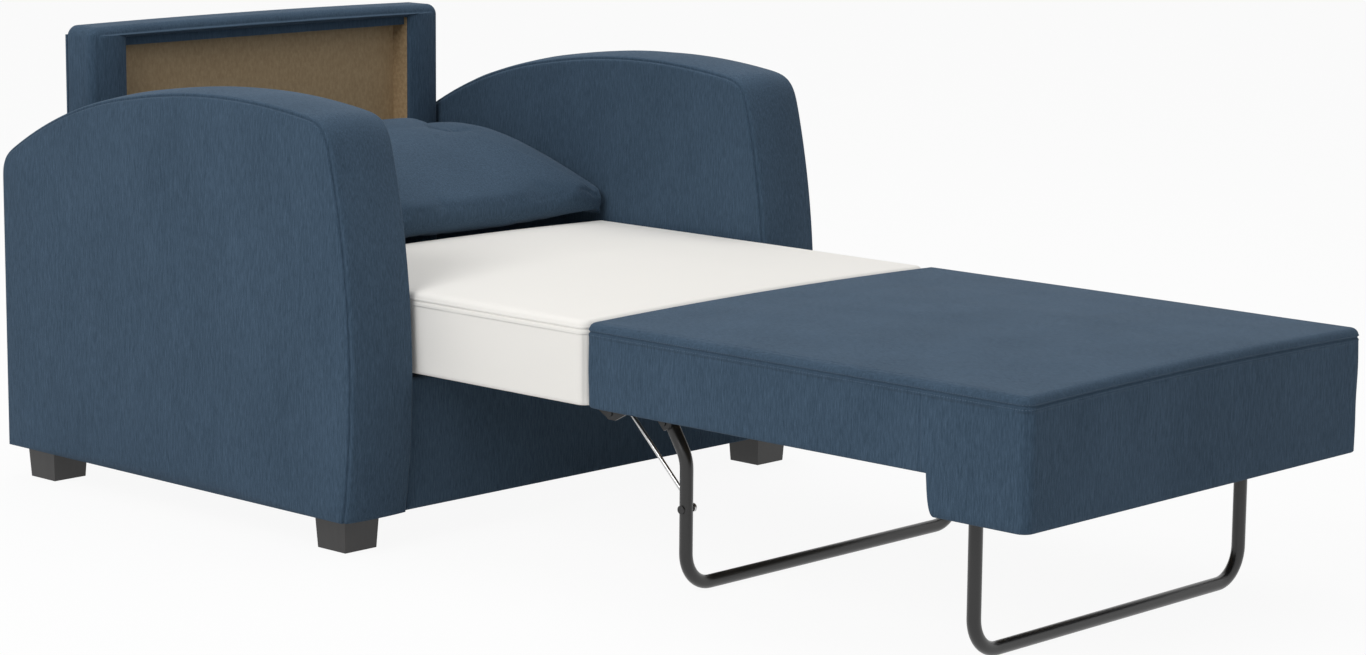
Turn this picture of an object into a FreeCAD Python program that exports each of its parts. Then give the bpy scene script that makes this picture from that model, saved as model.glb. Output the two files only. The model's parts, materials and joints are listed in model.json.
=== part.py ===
"""Convertible chair bed, opened out as a single bed.

Millimetres, +Z up, +Y towards the back rest, the bed opens towards -Y and +X is
the sitter's left. The origin lies on the floor at the middle of the whole piece.

Two padded sections fold out of the chair. The middle section turns on two pins in
the arms, and the seat section hangs on its front edge and stays level while it
swings over, so that folded up it lies as the seat on top of the middle section.
Two tube hoops carry the seat section on the floor, and two thin stays brace the
rear one.
"""
import FreeCAD, Part
import Sketcher
import math
import os

os.makedirs("parts", exist_ok=True)
doc = FreeCAD.newDocument("ChairBed")

# Driving dimensions: name, value in millimetres or degrees, what it is
DIMENSIONS = [
    ("overall_width", 1000, "across both arms"),
    ("arm_width", 125, "one upholstered arm"),
    ("arm_depth", 805, "front to rear of an arm at the floor"),
    ("arm_shoulder_height", 600, "top of the front band of an arm"),
    ("arm_front_rise", 30, "how much higher the top starts behind the front corner"),
    ("arm_mid_height", 628, "arm top where the long top curve turns down"),
    ("arm_rear_height", 508, "arm top at the rear corner"),
    ("arm_lean", 29, "set back of the shoulder behind the foot of the arm"),
    ("arm_corner_run", 38, "depth of the rounded front corner"),
    ("arm_mid_run", 480, "from the arm front to where the top turns down"),
    ("arm_front_bulge", 29, "rise of the front arc over its chord"),
    ("arm_corner_bulge", 9, "rise of the corner arc over its chord"),
    ("arm_top_bulge", 17, "rise of the front top arc over its chord"),
    ("arm_rear_bulge", 19, "rise of the rear top arc over its chord"),
    ("arm_padding", 15, "padding and fabric over the arm's timber box"),
    ("arm_corner_round", 26, "rounding where the arm's top and front turn"),
    ("arm_edge_round", 7, "rounding at the seams of an arm"),
    ("arm_box_clearance", 45, "from the arm's outline to its timber box above"),
    ("arm_board", 18, "timber round the hollow of an arm's box"),
    ("arm_bearer", 40, "timber under the hollow, which takes the foot bolts"),
    ("arm_side_board", 9, "side boards of an arm's box"),
    ("foot_height", 52, "foot block"),
    ("foot_top_width", 66, "foot block at the top"),
    ("foot_bottom_width", 60, "foot block on the floor"),
    ("foot_inset", 24, "foot block in from the arm's faces at the floor"),
    ("foot_bolt_radius", 4, "bolt that holds a foot"),
    ("foot_bolt_reach", 36, "bolt above the foot block"),
    ("foot_bolt_sink", 8, "bolt head above the floor"),
    ("foot_bolt_head_radius", 8, "bolt head"),
    ("foot_bolt_head_height", 5, "bolt head"),
    ("apron_height", 196, "front board between the arms"),
    ("apron_board", 16, "thickness of the front board"),
    ("apron_fabric", 4, "padded fabric on the front board"),
    ("apron_setback", 3, "apron's face behind the arm front"),
    ("relief_width", 7, "notch in the apron's upper corners, where the flap's ends hang"),
    ("relief_height", 40, "notch in the apron's upper corners"),
    ("back_thickness", 67, "back frame with its covers"),
    ("back_height", 707, "top of the back frame"),
    ("back_side_gap", 5, "back frame inside the arms' inner faces"),
    ("back_rim_width", 70, "fabric rim round the open recess"),
    ("back_rim_height", 18, "fabric rim above the open recess"),
    ("back_face_fabric", 5, "padded fabric on the front of the frame"),
    ("back_side_fabric", 8, "padded fabric on the sides and top of the frame"),
    ("back_edge_round", 14, "rounding of the back's front edges"),
    ("recess_depth", 40, "from the rim's face to the bare board"),
    ("recess_sill", 425, "lower edge of the open recess"),
    ("top_rail_drop", 14, "rail showing below the rim"),
    ("top_rail_setback", 12, "rail's face behind the rim's face"),
    ("lower_rail_height", 75, "timber rail below the recess"),
    ("bottom_rail_height", 74, "timber rail at the bottom of the back"),
    ("hardboard", 3, "bare board in the recess"),
    ("rear_panel", 4, "fabric covered panel behind the back"),
    ("bed_reach", 1130, "front end of the bed in front of the arms"),
    ("joint_reach", 358, "fold joint in front of the arms"),
    ("middle_length", 699, "length of the middle section"),
    ("section_underside", 256, "lower edge of both sections"),
    ("section_side", 119, "height of the sections' side panels"),
    ("section_crown", 15, "rise of the sections' tops in the middle"),
    ("section_end_crown", 5, "rise of the sections' tops at their ends"),
    ("section_side_gap", 2.5, "section inside the arms' inner faces"),
    ("section_round", 9, "rounding of the sections' upright corners"),
    ("joint_gap", 6, "gap between the two sections at the joint"),
    ("cover_wall", 4, "cover with its wadding"),
    ("foam_thickness", 80, "foam in a section"),
    ("tube", 22, "square frame tube"),
    ("tube_wall", 1.5, "wall of a frame tube"),
    ("tube_lift", 2, "frame tubes above the sections' lower edge"),
    ("tube_inset", 9, "frame tubes inside the cover"),
    ("tube_end_gap", 1, "end tubes inside the cover"),
    ("slat_thickness", 8, "timber slat"),
    ("slat_width", 53, "timber slat"),
    ("slat_count", 6, "slats in a section"),
    ("fold_clearance", 15, "folded sections in front of the back"),
    ("pivot_drop", 8, "bed pivot below the sections' lower edge"),
    ("hinge_drop", 16, "fold joint below the sections' lower edge"),
    ("pivot_pin_radius", 5, "pin of the bed pivot"),
    ("pivot_plate_thickness", 4, "steel plate let into an arm"),
    ("pivot_plate_length", 90, "steel plate let into an arm"),
    ("pivot_plate_height", 50, "steel plate let into an arm"),
    ("pivot_bracket", 5, "steel bracket under the middle section's tube"),
    ("pivot_bracket_length", 60, "steel bracket under the middle section's tube"),
    ("running_gap", 0.3, "free space round moving pieces"),
    ("bore_overrun", 1, "how far a bore runs past both faces of its piece"),
    ("leaf_thickness", 4, "hinge leaf of the fold joint"),
    ("leaf_side_gap", 21.5, "fold hinges inside the side tubes"),
    ("leaf_reach", 60, "length of a hinge leaf"),
    ("leaf_eye", 9, "eye of a hinge leaf"),
    ("hinge_pin_radius", 4, "pin of the fold joint and of the hoops"),
    ("hoop_side_gap", 33, "between a hoop and the side tube of the frame above it"),
    ("hoop_tube_radius", 9.5, "round tube of the hoops"),
    ("hoop_tube_wall", 1.5, "round tube of the hoops"),
    ("hoop_bend", 48, "bend in a hoop's bottom corner"),
    ("rear_hoop_reach", 481, "rear hoop in front of the arms"),
    ("rear_hoop_lean", 31, "rear hoop's top bent back to its pivot"),
    ("rear_hoop_knee", 190, "height where the rear hoop bends back"),
    ("front_hoop_reach", 990, "front hoop in front of the arms"),
    ("rear_pivot_drop", 18, "rear hoop's pivot below the sections' lower edge"),
    ("front_pivot_lift", 6, "front hoop's pivot above the sections' lower edge"),
    ("hoop_bracket", 4, "plate that carries a hoop"),
    ("hoop_bracket_eye", 11, "round end of that plate"),
    ("hoop_rail_offset", 16, "cross rail's near face from the hoop's pivot"),
    ("pin_end", 1.5, "how far a pin or rivet stands out past its outer piece"),
    ("stay_radius", 3, "bright rod that steadies the rear hoop"),
    ("stay_eye", 4, "thickness of a stay's flattened, bored ends"),
    ("stay_foot_height", 120, "stay's lower pivot above the floor"),
    ("stay_head_reach", 352, "stay's upper end in front of the arms"),
    ("stay_head_drop", 11, "stay's upper end below the sections' lower edge"),
    ("rivet_radius", 3, "rivet through hoop and stay"),
    ("rivet_head_radius", 6, "head of that rivet"),
    ("rivet_head_thickness", 2, "head of that rivet"),
    ("valance_drop", 55, "front flap below the sections' lower edge"),
    ("valance_return", 149, "flap round the corner along each side"),
    ("valance_curve", 12, "run of the curved end of the flap"),
    ("flap_room", 0.4, "between the middle section and the flap's returns, folded beside it"),
    ("valance_curve_rise", 4, "rise of that curve over its chord"),
    ("valance_wall", 3, "thickness of the flap"),
    ("cushion_side_gap", 7, "between an arm and the back cushion"),
    ("cushion_back_gap", 7.2, "between the back and the straight rear edge of the laid cushion"),
    ("cushion_thickness", 124, "back cushion through its middle"),
    ("cushion_edge", 92, "back cushion at its ends"),
    ("cushion_front_side", 50, "boxing along the laid cushion's front"),
    ("cushion_rear_side", 70, "boxing along the laid cushion's rear"),
    ("cushion_bulge", 11, "swelling of the boxing"),
    ("cushion_drawn_in", 8, "how far its ends draw in between the corners"),
    ("cushion_crown_shift", 32, "highest line of the laid cushion behind its middle"),
    ("cushion_slope", 6, "back cushion laid down, degrees"),
    ("cushion_overlap", 8, "laid cushion over the middle section's rear edge"),
    ("tuft_depth", 12, "sewn tufts in the cushion"),
    ("tuft_radius", 52, "ball that shapes a tuft"),
    ("tuft_spread", 205, "tufts apart"),
    ("tuft_run", 225, "tufts behind the laid cushion's front"),
]

# Places worked out from the dimensions
PLACES = [
    ("arm_front", "(Dims.bed_reach - Dims.arm_depth) / 2"),
    ("arm_rear", "arm_front + Dims.arm_depth"),
    ("half_gap", "Dims.overall_width / 2 - Dims.arm_width"),
    ("arm_mid", "(Dims.overall_width - Dims.arm_width) / 2"),
    ("back_front", "arm_rear - Dims.back_thickness"),
    ("back_half", "half_gap - Dims.back_side_gap"),
    ("frame_half", "back_half - Dims.back_side_fabric"),
    ("frame_front", "back_front + Dims.back_face_fabric"),
    ("frame_top", "Dims.back_height - Dims.back_side_fabric"),
    ("recess_half", "back_half - Dims.back_rim_width"),
    ("recess_top", "Dims.back_height - Dims.back_rim_height"),
    ("panel_front", "arm_rear - Dims.rear_panel"),
    ("section_half", "half_gap - Dims.section_side_gap"),
    ("middle_half", "section_half - Dims.valance_wall - Dims.flap_room"),
    ("section_top", "Dims.section_underside + Dims.section_side"),
    ("joint", "arm_front - Dims.joint_reach"),
    ("bed_front", "arm_front - Dims.bed_reach"),
    ("middle_rear", "joint + Dims.middle_length"),
    ("middle_front", "joint + Dims.joint_gap / 2"),
    ("seat_rear", "joint - Dims.joint_gap / 2"),
    ("pivot_place", "(joint + back_front - Dims.fold_clearance) / 2"),
    ("pivot_height", "Dims.section_underside - Dims.pivot_drop"),
    ("hinge_height", "Dims.section_underside - Dims.hinge_drop"),
    ("tube_bottom", "Dims.section_underside + Dims.tube_lift"),
    ("tube_top", "tube_bottom + Dims.tube"),
    ("tube_outer", "section_half - Dims.tube_inset - Dims.cover_wall"),
    ("tube_inner", "tube_outer - Dims.tube"),
    ("foam_top", "section_top - Dims.cover_wall"),
    ("foam_bottom", "foam_top - Dims.foam_thickness"),
    ("rear_hoop", "arm_front - Dims.rear_hoop_reach"),
    ("rear_hoop_pivot", "rear_hoop + Dims.rear_hoop_lean"),
    ("rear_pivot_height", "Dims.section_underside - Dims.rear_pivot_drop"),
    ("front_hoop", "arm_front - Dims.front_hoop_reach"),
    ("front_pivot_height", "Dims.section_underside + Dims.front_pivot_lift"),
    ("leaf_place", "tube_inner - Dims.leaf_side_gap"),
    ("hoop_half_width", "tube_inner - Dims.hoop_side_gap - Dims.hoop_tube_radius"),
    ("hoop_inner", "hoop_half_width - Dims.hoop_tube_radius"),
    ("hoop_outer", "hoop_half_width + Dims.hoop_tube_radius"),
    ("stay_place", "hoop_inner - Dims.stay_radius - 2 * Dims.running_gap"),
    ("stay_head", "arm_front - Dims.stay_head_reach"),
    ("stay_head_height", "Dims.section_underside - Dims.stay_head_drop"),
    ("valance_rear", "bed_front + Dims.valance_return"),
    ("valance_bottom", "Dims.section_underside - Dims.valance_drop"),
    ("cushion_half", "half_gap - Dims.cushion_side_gap"),
    ("cushion_front", "middle_rear - Dims.cushion_overlap"),
    ("cushion_bottom", "section_top + Dims.section_end_crown + Dims.running_gap"),
]


def make_sheet(name, rows):
    """Put named rows in a spreadsheet, a note beside each value."""
    sheet = doc.addObject("Spreadsheet::Sheet", name)
    for number, row in enumerate(rows, start=1):
        sheet.set(f"A{number}", row[2] if len(row) > 2 else "worked out")
        sheet.set(f"B{number}", str(row[1]) if len(row) > 2 else "=" + row[1])
        sheet.setAlias(f"B{number}", row[0])
        if len(row) == 2:
            doc.recompute()
    doc.recompute()
    return sheet


dims_sheet = make_sheet("Dims", DIMENSIONS)
make_sheet("Places", PLACES)
DIM_NAMES = {row[0] for row in DIMENSIONS}
PLACE_NAMES = {row[0] for row in PLACES}
SIDES = [("right", -1), ("left", 1)]
FEET = [
    ("front", "arm_front + foot_inset + foot_top_width / 2"),
    ("rear", "arm_rear - foot_inset - foot_top_width / 2"),
]
subparts = []


def full(expression):
    """Write the sheets' names in front of the dimension and place names in an expression."""
    out, word = "", ""
    for letter in str(expression) + " ":
        if letter.isalnum() or letter in "_.":
            word += letter
            continue
        if word in DIM_NAMES:
            word = "Dims." + word
        elif word in PLACE_NAMES:
            word = "Places." + word
        out += word + letter
        word = ""
    return out.strip()


def value(expression):
    """The number that an expression of named sizes stands for."""
    return float(dims_sheet.evalExpression(full(expression)))


def bind(item, prop, expression):
    """Tie a property to named sizes."""
    item.setExpression(prop, full(expression))


def keep(item, label):
    """Name a finished sub-part, which also names its file."""
    item.Label = label
    subparts.append(item)
    return item


def place(item, across, along, up):
    """Tie an item's position to named sizes."""
    bind(item, "Placement.Base.x", across)
    bind(item, "Placement.Base.y", along)
    bind(item, "Placement.Base.z", up)


def block(name, across, along, up):
    """A box between two expressions each way: (from, to) for X, Y and Z."""
    item = doc.addObject("Part::Box", name)
    bind(item, "Length", f"({across[1]}) - ({across[0]})")
    bind(item, "Width", f"({along[1]}) - ({along[0]})")
    bind(item, "Height", f"({up[1]}) - ({up[0]})")
    place(item, across[0], along[0], up[0])
    return item


def rod(name, start, along, up, length, radius):
    """A round bar along +X that starts at the given place."""
    item = doc.addObject("Part::Cylinder", name)
    bind(item, "Radius", radius)
    bind(item, "Height", length)
    item.Placement.Rotation = FreeCAD.Rotation(FreeCAD.Vector(0, 1, 0), 90)
    place(item, start, along, up)
    return item


def post(name, across, along, bottom, length, radius):
    """A round bar along +Z."""
    item = doc.addObject("Part::Cylinder", name)
    bind(item, "Radius", radius)
    bind(item, "Height", length)
    place(item, across, along, bottom)
    return item


def cut(name, base, tools):
    """Base without the tools."""
    for number, tool in enumerate(tools):
        item = doc.addObject("Part::Cut", f"{name}_{number}")
        item.Base = base
        item.Tool = tool
        base = item
    return base


def group(name, items):
    """Several separate solids kept under one name."""
    item = doc.addObject("Part::Compound", name)
    item.Links = items
    return item


def origin_plane(body, role):
    """One of a body's own origin planes."""
    return next(f for f in body.Origin.OriginFeatures if f.Role == role)


def outline(body, name, plane, corners):
    """A closed sketch through corners given by named sizes.

    Each corner is (u, v) or (u, v, rise): with a rise the edge to the next corner
    is an arc that stands out by that much on the right of the way round.
    """
    sketch = body.newObject("Sketcher::SketchObject", name)
    sketch.AttachmentSupport = [(origin_plane(body, plane), "")]
    sketch.MapMode = "FlatFace"
    points = [FreeCAD.Vector(value(c[0]), value(c[1]), 0) for c in corners]
    ends = []
    for number, corner in enumerate(corners):
        start, end = points[number], points[(number + 1) % len(points)]
        if len(corner) == 2:
            edge = sketch.addGeometry(Part.LineSegment(start, end))
        else:
            along = end - start
            side = FreeCAD.Vector(along.y, -along.x, 0).normalize()
            middle = (start + end) * 0.5 + side * value(corner[2])
            edge = sketch.addGeometry(Part.Arc(start, middle, end))
            other = corners[(number + 1) % len(corners)]
            chord = f"((({other[0]}) - ({corner[0]}))^2 + (({other[1]}) - ({corner[1]}))^2)"
            radius = f"{chord} / (8 * ({corner[2]})) + ({corner[2]}) / 2"
            made = sketch.addConstraint(Sketcher.Constraint("Radius", edge, value(radius)))
            bind(sketch, f"Constraints[{made}]", radius)
        first = 1 if sketch.getPoint(edge, 1).distanceToPoint(start) < 1e-6 else 2
        ends.append((edge, first, 3 - first))
    for number, corner in enumerate(corners):
        edge, first, _ = ends[number]
        before, _, last = ends[number - 1]
        sketch.addConstraint(Sketcher.Constraint("Coincident", before, last, edge, first))
        for kind, size in (("DistanceX", corner[0]), ("DistanceY", corner[1])):
            made = sketch.addConstraint(
                Sketcher.Constraint(kind, -1, 1, edge, first, value(size)))
            bind(sketch, f"Constraints[{made}]", size)
    return sketch


def new_body(name):
    """An empty body."""
    return doc.addObject("PartDesign::Body", name)


def pad(body, name, sketch, length, midplane=True):
    """Thicken a sketch, to both sides unless told otherwise."""
    item = body.newObject("PartDesign::Pad", name)
    item.Profile = sketch
    if midplane:
        item.SideType = "Symmetric"
    bind(item, "Length", length)
    return item


def pocket(body, name, sketch, length=None):
    """Cut a sketch out, to both sides of its plane: by a length or all the way."""
    item = body.newObject("PartDesign::Pocket", name)
    item.Profile = sketch
    item.SideType = "Symmetric"
    if length is None:
        item.Type = "ThroughAll"
    else:
        bind(item, "Length", length)
    doc.recompute()
    return item


def edges_where(feature, test):
    """Names of the edges whose middle passes a test."""
    names = []
    for number, edge in enumerate(feature.Shape.Edges, start=1):
        middle = edge.valueAt((edge.FirstParameter + edge.LastParameter) / 2)
        if test(edge, middle):
            names.append(f"Edge{number}")
    return names


def rounded(body, name, base, radius, test):
    """Fillet the edges of a feature that pass a test."""
    doc.recompute()
    item = body.newObject("PartDesign::Fillet", name)
    item.Base = (base, edges_where(base, test))
    bind(item, "Radius", radius)
    doc.recompute()
    return item


def rectangle(across, along):
    """Corners of a rectangle, the way round that keeps the inside on the left."""
    return [(across[0], along[0]), (across[1], along[0]), (across[1], along[1]), (across[0], along[1])]


def bore(body, name, plane, centres, radius, level="0", length=None):
    """Drill round holes square to a plane at some level, to both sides of it."""
    sketch = body.newObject("Sketcher::SketchObject", f"{name}Rings")
    sketch.AttachmentSupport = [(origin_plane(body, plane), "")]
    sketch.MapMode = "FlatFace"
    for u, v in centres:
        spot = FreeCAD.Vector(value(u), value(v), 0)
        ring = sketch.addGeometry(Part.Circle(spot, FreeCAD.Vector(0, 0, 1), value(radius)))
        for kind, size in (("DistanceX", u), ("DistanceY", v)):
            made = sketch.addConstraint(Sketcher.Constraint(kind, -1, 1, ring, 3, value(size)))
            bind(sketch, f"Constraints[{made}]", size)
        made = sketch.addConstraint(Sketcher.Constraint("Radius", ring, value(radius)))
        bind(sketch, f"Constraints[{made}]", radius)
    bind(sketch, "AttachmentOffset.Base.z", level)
    return pocket(body, name, sketch, length)


def on_side(sign, near, far):
    """From and to along X for a piece between two distances on one side of the middle."""
    ends = (f"{sign} * ({near})", f"{sign} * ({far})")
    return ends if sign > 0 else (ends[1], ends[0])


# Arms


def arm_corners():
    """The arm seen from the side: bulging front, rounded corner, long falling top."""
    lean, run = "arm_front + arm_lean", "arm_front + arm_lean + arm_corner_run"
    return [
        ("arm_rear", "foot_height"),
        ("arm_rear", "arm_rear_height", "arm_rear_bulge"),
        ("arm_front + arm_mid_run", "arm_mid_height", "arm_top_bulge"),
        (run, "arm_shoulder_height + arm_front_rise", "arm_corner_bulge"),
        (lean, "arm_shoulder_height", "arm_front_bulge"),
        ("arm_front", "foot_height"),
    ]


def arm_box_corners():
    """The timber box inside an arm, under its padding."""
    inset = "arm_box_clearance"
    return [
        ("arm_rear - arm_padding", "foot_height"),
        ("arm_rear - arm_padding", f"arm_rear_height - {inset}"),
        ("arm_front + arm_mid_run", f"arm_mid_height - {inset}"),
        (f"arm_front + {inset}", f"arm_shoulder_height - {inset}"),
        ("arm_front + arm_padding", "foot_height"),
    ]


def arm_hollow_corners():
    """The hollow inside an arm's timber box."""
    inset = "arm_box_clearance + arm_board"
    side = "arm_padding + arm_board"
    return [
        (f"arm_rear - ({side})", "foot_height + arm_bearer"),
        (f"arm_rear - ({side})", f"arm_rear_height - ({inset})"),
        ("arm_front + arm_mid_run", f"arm_mid_height - ({inset})"),
        (f"arm_front + {inset}", f"arm_shoulder_height - ({inset})"),
        (f"arm_front + {side}", "foot_height + arm_bearer"),
    ]


def make_arm(side, sign):
    """Timber box, fabric cover, two feet and the pivot plate of one arm."""
    middle = f"{sign} * arm_mid"
    foot_x = f"{sign} * (overall_width / 2 - foot_inset - foot_top_width / 2)"

    cover = new_body(f"ArmCover{side}")
    whole = pad(cover, "Whole", outline(cover, "Side", "YZ_Plane", arm_corners()), "arm_width")
    half = value("arm_width") / 2
    low = value("foot_height")
    smooth = rounded(cover, "Turns", whole, "arm_corner_round",
                     lambda edge, mid: abs(mid.x) < 0.1 and mid.z > low + 1)
    rounded(cover, "Seams", smooth, "arm_edge_round",
            lambda edge, mid: abs(abs(mid.x) - half) < 0.1 and mid.z > low + 1)
    pocket(cover, "Hollow", outline(cover, "Inside", "YZ_Plane", arm_box_corners()),
           "arm_width - 2 * arm_padding")
    plate_half = "pivot_plate_length / 2"
    seat = outline(cover, "PlateSeat", "YZ_Plane", rectangle(
        (f"pivot_place - {plate_half}", f"pivot_place + {plate_half}"),
        ("pivot_height - pivot_plate_height / 2", "pivot_height + pivot_plate_height / 2")))
    bind(seat, "AttachmentOffset.Base.z", f"-1 * {sign} * (arm_width / 2)")
    pocket(cover, "LetIn", seat, "2 * pivot_plate_thickness")
    pin = [("pivot_place", "pivot_height")]
    pin_way = "pivot_pin_radius + running_gap"
    bore(cover, "PinHole", "YZ_Plane", pin, pin_way, f"-1 * {sign} * (arm_width / 2)", "2 * arm_padding")
    bind(cover, "Placement.Base.x", middle)
    keep(cover, f"{side}_arm_cover")

    frame = new_body(f"ArmBox{side}")
    pad(frame, "Whole", outline(frame, "Side", "YZ_Plane", arm_box_corners()),
        "arm_width - 2 * arm_padding")
    pocket(frame, "Cavity", outline(frame, "Room", "YZ_Plane", arm_hollow_corners()),
           "arm_width - 2 * arm_padding - 2 * arm_side_board")
    bolts = [(f"{foot_x} - {middle}", along) for _, along in FEET]
    bore(frame, "BoltHoles", "XY_Plane", bolts, "foot_bolt_radius", "foot_height", "2 * foot_bolt_reach")
    bore(frame, "PinHole", "YZ_Plane", pin, pin_way, f"-1 * {sign} * (arm_width / 2 - arm_padding)",
         "2 * arm_side_board")
    bind(frame, "Placement.Base.x", middle)
    keep(frame, f"{side}_arm_box")

    for end, along in FEET:
        make_foot(f"{side}_{end}_foot", foot_x, along)
    make_pivot_plate(side, sign)


def make_foot(name, across, along):
    """A tapered block, wider at the top, with a bore for its bolt."""
    body = new_body(name)
    levels = []
    ends = (("foot_bottom_width", "0"), ("foot_top_width", "foot_height"))
    for number, (width, up) in enumerate(ends):
        half = f"{width} / 2"
        level = outline(body, f"Level{number}", "XY_Plane",
                        rectangle((f"-{half}", half), (f"-{half}", half)))
        bind(level, "AttachmentOffset.Base.z", up)
        levels.append(level)
    doc.recompute()
    loft = body.newObject("PartDesign::AdditiveLoft", "Taper")
    loft.Profile = levels[0]
    loft.Sections = [levels[1]]
    doc.recompute()
    middle = [("0", "0")]
    bore(body, "BoltHole", "XY_Plane", middle, "foot_bolt_radius")
    bore(body, "HeadWell", "XY_Plane", middle, "foot_bolt_head_radius + running_gap", "0",
         "2 * (foot_bolt_sink + foot_bolt_head_height)")
    place(body, across, along, "0")
    keep(body, name)


def make_foot_bolts():
    """Four bolts, up through the foot blocks into the arm boxes."""
    bolts = []
    for sign in (-1, 1):
        foot_x = f"{sign} * (overall_width / 2 - foot_inset - foot_top_width / 2)"
        for _, along in FEET:
            top = "foot_bolt_sink + foot_bolt_head_height"
            length = f"foot_height + foot_bolt_reach - ({top})"
            shank = post("Shank", foot_x, along, top, length, "foot_bolt_radius")
            head = post("Head", foot_x, along, "foot_bolt_sink", "foot_bolt_head_height",
                        "foot_bolt_head_radius")
            bolt = doc.addObject("Part::Fuse", "Bolt")
            bolt.Base = shank
            bolt.Tool = head
            bolts.append(bolt)
    keep(group("FootBolts", bolts), "foot_bolts")


def make_pivot_plate(side, sign):
    """The steel plate let into an arm's inner face, bored for the bed pin."""
    across = on_side(sign, "half_gap", "half_gap + pivot_plate_thickness")
    half = "pivot_plate_length / 2"
    plate = block(f"Plate{side}", across, (f"pivot_place - {half}", f"pivot_place + {half}"),
                  ("pivot_height - pivot_plate_height / 2", "pivot_height + pivot_plate_height / 2"))
    hole = rod(f"PlateBore{side}", f"{across[0]} - bore_overrun", "pivot_place", "pivot_height",
               "pivot_plate_thickness + 2 * bore_overrun", "pivot_pin_radius + running_gap")
    keep(cut(f"PivotPlate{side}", plate, [hole]), f"{side}_pivot_plate")


# Base and back


def make_apron():
    """Front board between the arms and the padded fabric over it."""
    face = "arm_front + apron_setback"
    board_front = f"{face} + apron_fabric"
    top = "foot_height + apron_height"
    board = block("ApronBoard", ("-half_gap", "half_gap"), (board_front, f"{board_front} + apron_board"),
                  ("foot_height + apron_fabric", f"{top} - apron_fabric"))
    notch_up = (f"{top} - relief_height", top)
    notches = []
    for side, sign in SIDES:
        across = on_side(sign, "half_gap - relief_width", "half_gap + bore_overrun")
        notches.append(block(f"Relief{side}", across, (face, f"{board_front} + apron_board"), notch_up))
    keep(cut("ApronNotched", board, notches), "apron_board")
    body = new_body("ApronCover")
    corners = [(face, "foot_height"), (f"{board_front} + apron_board", "foot_height"),
               (f"{board_front} + apron_board", "foot_height + apron_fabric"),
               (board_front, "foot_height + apron_fabric"), (board_front, f"{top} - apron_fabric"),
               (f"{board_front} + apron_board", f"{top} - apron_fabric"),
               (f"{board_front} + apron_board", top), (face, top)]
    pad(body, "Wrap", outline(body, "Side", "YZ_Plane", corners), "2 * half_gap")
    for side, sign in SIDES:
        across = on_side(sign, "half_gap - relief_width", "half_gap + bore_overrun")
        pocket(body, f"Relief{side}", outline(body, f"Notch{side}", "XZ_Plane", rectangle(across, notch_up)))
    keep(body, "apron_cover")


def make_back():
    """Timber frame, bare board, padded cover with its open recess, and rear panel."""
    bottom = "foot_height + back_side_fabric"
    deep = ("frame_front", "panel_front")
    for side, sign in SIDES:
        across = on_side(sign, "recess_half", "frame_half")
        keep(block(f"Stile{side}", across, deep, (bottom, "frame_top")), f"{side}_back_stile")
    between = ("-recess_half", "recess_half")
    board_front = "back_front + recess_depth"
    keep(block("TopRail", between, ("back_front + top_rail_setback", board_front),
               ("recess_top - top_rail_drop", "frame_top")), "back_top_rail")
    keep(block("LowerRail", between, ("frame_front", board_front),
               ("recess_sill - lower_rail_height", "recess_sill")), "back_lower_rail")
    keep(block("BottomRail", between, deep, (bottom, f"{bottom} + bottom_rail_height")),
         "back_bottom_rail")
    keep(block("Board", between, (board_front, f"{board_front} + hardboard"),
               ("recess_sill - lower_rail_height", "frame_top")), "recess_board")

    cover = new_body("BackCover")
    whole = pad(cover, "Whole", outline(cover, "Front", "XZ_Plane", rectangle(
        ("-back_half", "back_half"), ("foot_height", "back_height"))), "back_thickness - rear_panel", False)
    whole.Reversed = True
    top = value("back_height")
    half = value("back_half")
    rounded(cover, "Edges", whole, "back_edge_round", lambda edge, mid: (
        mid.z > top - 0.1 and (mid.y < 0.1 or abs(abs(mid.x) - half) < 0.1)
        or mid.y < 0.1 and abs(abs(mid.x) - half) < 0.1))
    hollow = outline(cover, "Hollow", "XZ_Plane", rectangle(
        ("-frame_half", "frame_half"), (bottom, "frame_top")))
    bind(hollow, "AttachmentOffset.Base.z", "-back_thickness")
    pocket(cover, "Inside", hollow, "2 * (back_thickness - back_face_fabric)")
    window = outline(cover, "Window", "XZ_Plane", rectangle(
        ("-recess_half", "recess_half"), ("recess_sill", "recess_top")))
    pocket(cover, "Recess", window)
    bind(cover, "Placement.Base.y", "back_front")
    keep(cover, "back_cover")

    keep(block("RearPanel", ("-back_half", "back_half"), ("panel_front", "arm_rear"),
               ("foot_height", "back_height - back_edge_round")), "rear_panel")


# The two padded sections


def crowned(body, front, rear, half):
    """A block with a crowned top, lofted through upright cross sections at its ends and middle."""
    sections = []
    middle = f"(({front}) + ({rear})) / 2"
    stations = ((rear, "section_end_crown"), (middle, "section_crown"), (front, "section_end_crown"))
    for number, (along, rise) in enumerate(stations):
        corners = [(half, "section_underside"), (half, "section_top", rise),
                   (f"-{half}", "section_top"), (f"-{half}", "section_underside")]
        sketch = outline(body, f"Section{number}", "XZ_Plane", corners)
        bind(sketch, "AttachmentOffset.Base.z", f"-1 * ({along})")
        sections.append(sketch)
    doc.recompute()
    loft = body.newObject("PartDesign::AdditiveLoft", "Crown")
    loft.Profile = sections[0]
    loft.Sections = sections[1:]
    doc.recompute()
    return loft


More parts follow.
